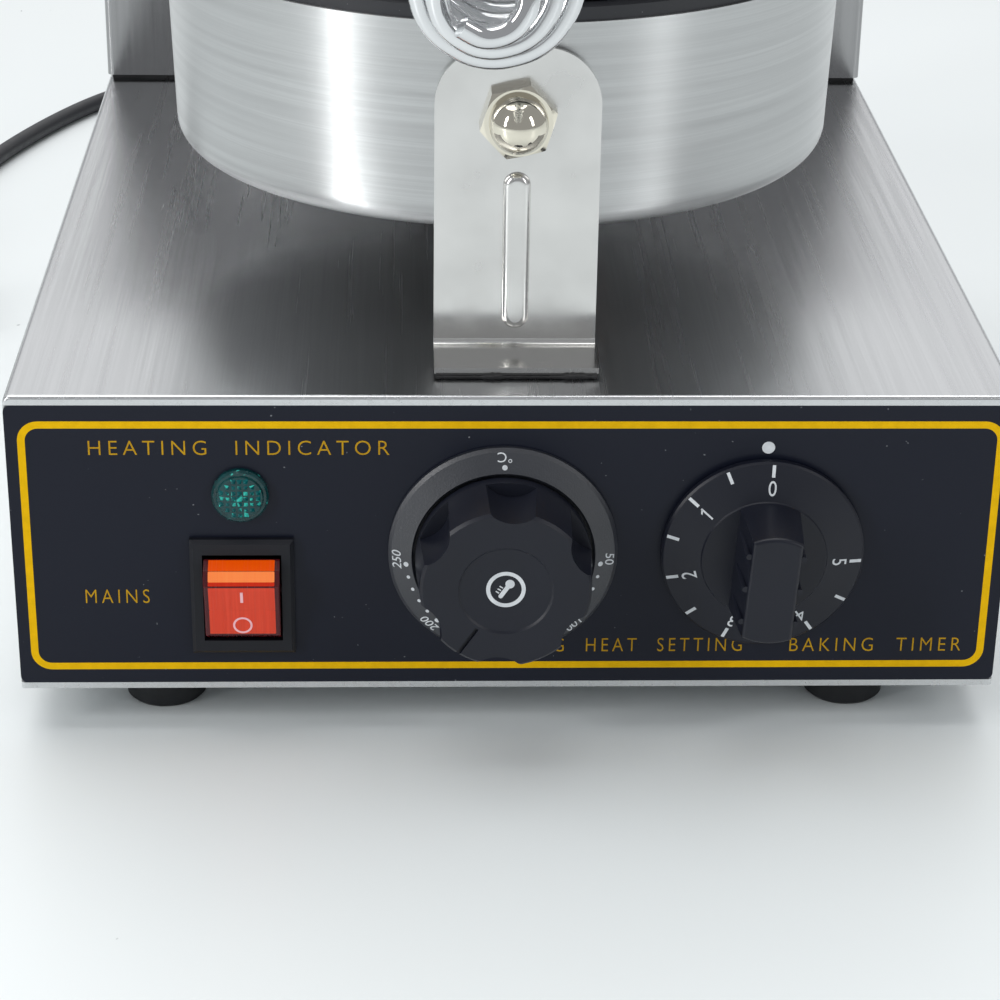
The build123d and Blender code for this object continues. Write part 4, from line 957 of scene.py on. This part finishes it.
def time_scale():
    """The minutes and half minutes on the timer's skirt."""
    outer, inner = (24.0 * mm, 2.9 * mm), (15.3 * mm, 5.2 * mm)
    slope = math.atan2(inner[1] - outer[1], outer[0] - inner[0])
    tick_radius, figure_radius = 22.45 * mm, 18.4 * mm
    tick_level = cone_height(tick_radius, outer, inner)
    figure_level = cone_height(figure_radius, outer, inner)
    tick_side, tick_half_height = 0.40 * mm, 1.5 * mm
    figure_height, figure_stretch = 3.7 * mm, 0.85
    half_minute = math.radians(27.0)
    flag_of_one = ((0.0, 1.85), (-0.95, 1.05), (-0.95, 0.60), (0.0, 1.30))

    def build(bm):
        for step in range(11):
            angle = timer_rest - half_minute * step
            tick = on_dial(timer, angle, tick_radius, tick_level, slope)
            figure = on_dial(timer, angle, figure_radius, figure_level, slope)
            add_prism(bm, bar_points(tick_side, tick_half_height), -ink, ink, tick)
            if step % 2 == 0:
                add_lettering(bm, str(step // 2), figure_height, figure, stretch=figure_stretch)
            if step == 2:
                add_prism(bm, [(x * mm, y * mm) for x, y in flag_of_one], -ink, ink, figure)

    scale = link("time_scale", mesh_from(build, "time_scale"), "timer_dial", white_ink)


# Switch and lamp


def rocker_faces():
    """The faces of the rocker with a painted glow, red in front, and amber and orange on its sloped
    upper end as painted highlights where it faces the light above.
    """
    rest = Matrix.Translation(rocker) @ Matrix.Rotation(rocker_rest, 4, "X")
    low_edge, dip, high_edge = (-8.8, -7.5), (-8.3, 0.0), (-8.8, 7.5)
    fold, end = (-6.1, 10.3), (-2.6, 11.2)
    sunk, proud, corner = 0.2 * mm, 0.05 * mm, 0.2 * mm
    stroke_side, stroke_half_height, stroke_rise = 0.34 * mm, 1.65 * mm, 4.2 * mm
    ring_outer, ring_inner, ring_rise = 2.35 * mm, 1.85 * mm, 3.1 * mm

    def facet(start, stop):
        """A frame on a facet of the rocker: X to the right, Y up the facet, and Z out of it."""
        lean = math.atan2(stop[1] - start[1], stop[0] - start[0])
        place = Matrix.Translation((0.0, start[0] * mm, start[1] * mm))
        return rest @ place @ Matrix.Rotation(lean, 4, "X")

    def strip(name, start, stop, near, far, material):
        """A coloured strip across a facet, from one distance up it to another."""
        middle, half = (near + far) / 2 * mm, (far - near) / 2 * mm

        def build(bm):
            outline = round_outline(rocker_face_side, half, corner, steps=3)
            raised = [(x, y + middle) for x, y in outline]
            add_prism(bm, raised, -sunk, proud, facet(start, stop))

        piece = link(name, mesh_from(build, name), "power_rocker", material)

    strip("rocker_face_low", low_edge, dip, 0.55, 7.5, red_face)
    strip("rocker_face_high", dip, high_edge, 0.0, 7.3, red_face)
    strip("rocker_face_edge", high_edge, fold, 0.25, 1.2, red_edge)
    # Painted highlights in amber and orange up the sloped end
    strip("rocker_face_amber_highlight", high_edge, fold, 1.2, 3.8, amber_highlight)
    strip("rocker_face_orange_highlight", fold, end, 0.0, 3.3, orange_highlight)

    def build_marks(bm):
        stroke = bar_points(stroke_side, stroke_half_height, 0.0, stroke_rise)
        outer = circle_points(ring_outer, 40, 0.0, ring_rise)
        inner = circle_points(ring_inner, 40, 0.0, ring_rise)
        add_prism(bm, stroke, proud - ink, proud + ink, facet(dip, high_edge))
        add_band(bm, outer, inner, proud - ink, proud + ink, facet(low_edge, dip))

    piece = link("rocker_marks", mesh_from(build_marks, "rocker_marks"), "power_rocker", pink_ink)


def lens_facets():
    """The small pyramids moulded in the lens, on a face that falls towards its edge."""
    pitch, reach = 1.42 * mm, 4.75 * mm
    face_level, fall = 3.08 * mm, 0.1
    sunk, rise = 0.2 * mm, 0.32 * mm
    rows = range(-4, 5)
    place = facing_front(lamp.x, front, lamp.z)

    def add_pyramid(bm, x, y, face):
        corners = bar_points(pitch / 2, pitch / 2, x, y)
        base = [bm.verts.new(place @ Vector((a, b, face - sunk))) for a, b in corners]
        tip = bm.verts.new(place @ Vector((x, y, face + rise)))
        bm.faces.new(list(reversed(base)))
        for one, two in zip(base, base[1:] + base[:1]):
            bm.faces.new((one, two, tip))

    def build(bm):
        for x, y in ((column * pitch, row * pitch) for column in rows for row in rows):
            radius = math.hypot(x, y)
            if radius < reach:
                add_pyramid(bm, x, y, face_level - fall * radius)

    facets = link("lens_facets", mesh_from(build, "lens_facets"), "machine", lens_cells)


# Front bracket


def sealant_bead():
    """The ragged bead squeezed out along the front of the bracket's foot."""
    low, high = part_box("bracket_sealant")
    lumps = random.Random(7)
    steps, sides = 60, 10
    turns = [2 * math.pi * i / sides for i in range(sides)]
    smallest, largest, flatness, rise = 0.35 * mm, 0.95 * mm, 0.9, 0.45 * mm
    growth, sway = 0.22, 0.1
    sizes = [0.55 * mm]
    for _ in range(steps):
        size = sizes[-1] + lumps.uniform(-growth, growth) * mm
        sizes.append(min(max(size, smallest), largest))

    def build(bm):
        loops = []
        for step, size in enumerate(sizes):
            x = low.x + (high.x - low.x) * step / steps
            y = low.y + lumps.uniform(-sway, sway) * mm
            points = [(y + size * math.cos(a), size * flatness * math.sin(a)) for a in turns]
            loops.append([bm.verts.new((x, b, deck + rise + c)) for b, c in points])
        for one, two in zip(loops, loops[1:]):
            for a in range(sides):
                b = (a + 1) % sides
                bm.faces.new((one[a], one[b], two[b], two[a]))
        bm.faces.new(loops[0])
        bm.faces.new(list(reversed(loops[-1])))

    bead = link("sealant_bead", mesh_from(build, "sealant_bead"), "machine", sealant)
    smooth(bead, 60.0)


panel_frame_line()
panel_words()
index_dot()
heat_scale()
heat_symbol()
time_scale()
rocker_faces()
lens_facets()
sealant_bead()
finish_nodes()
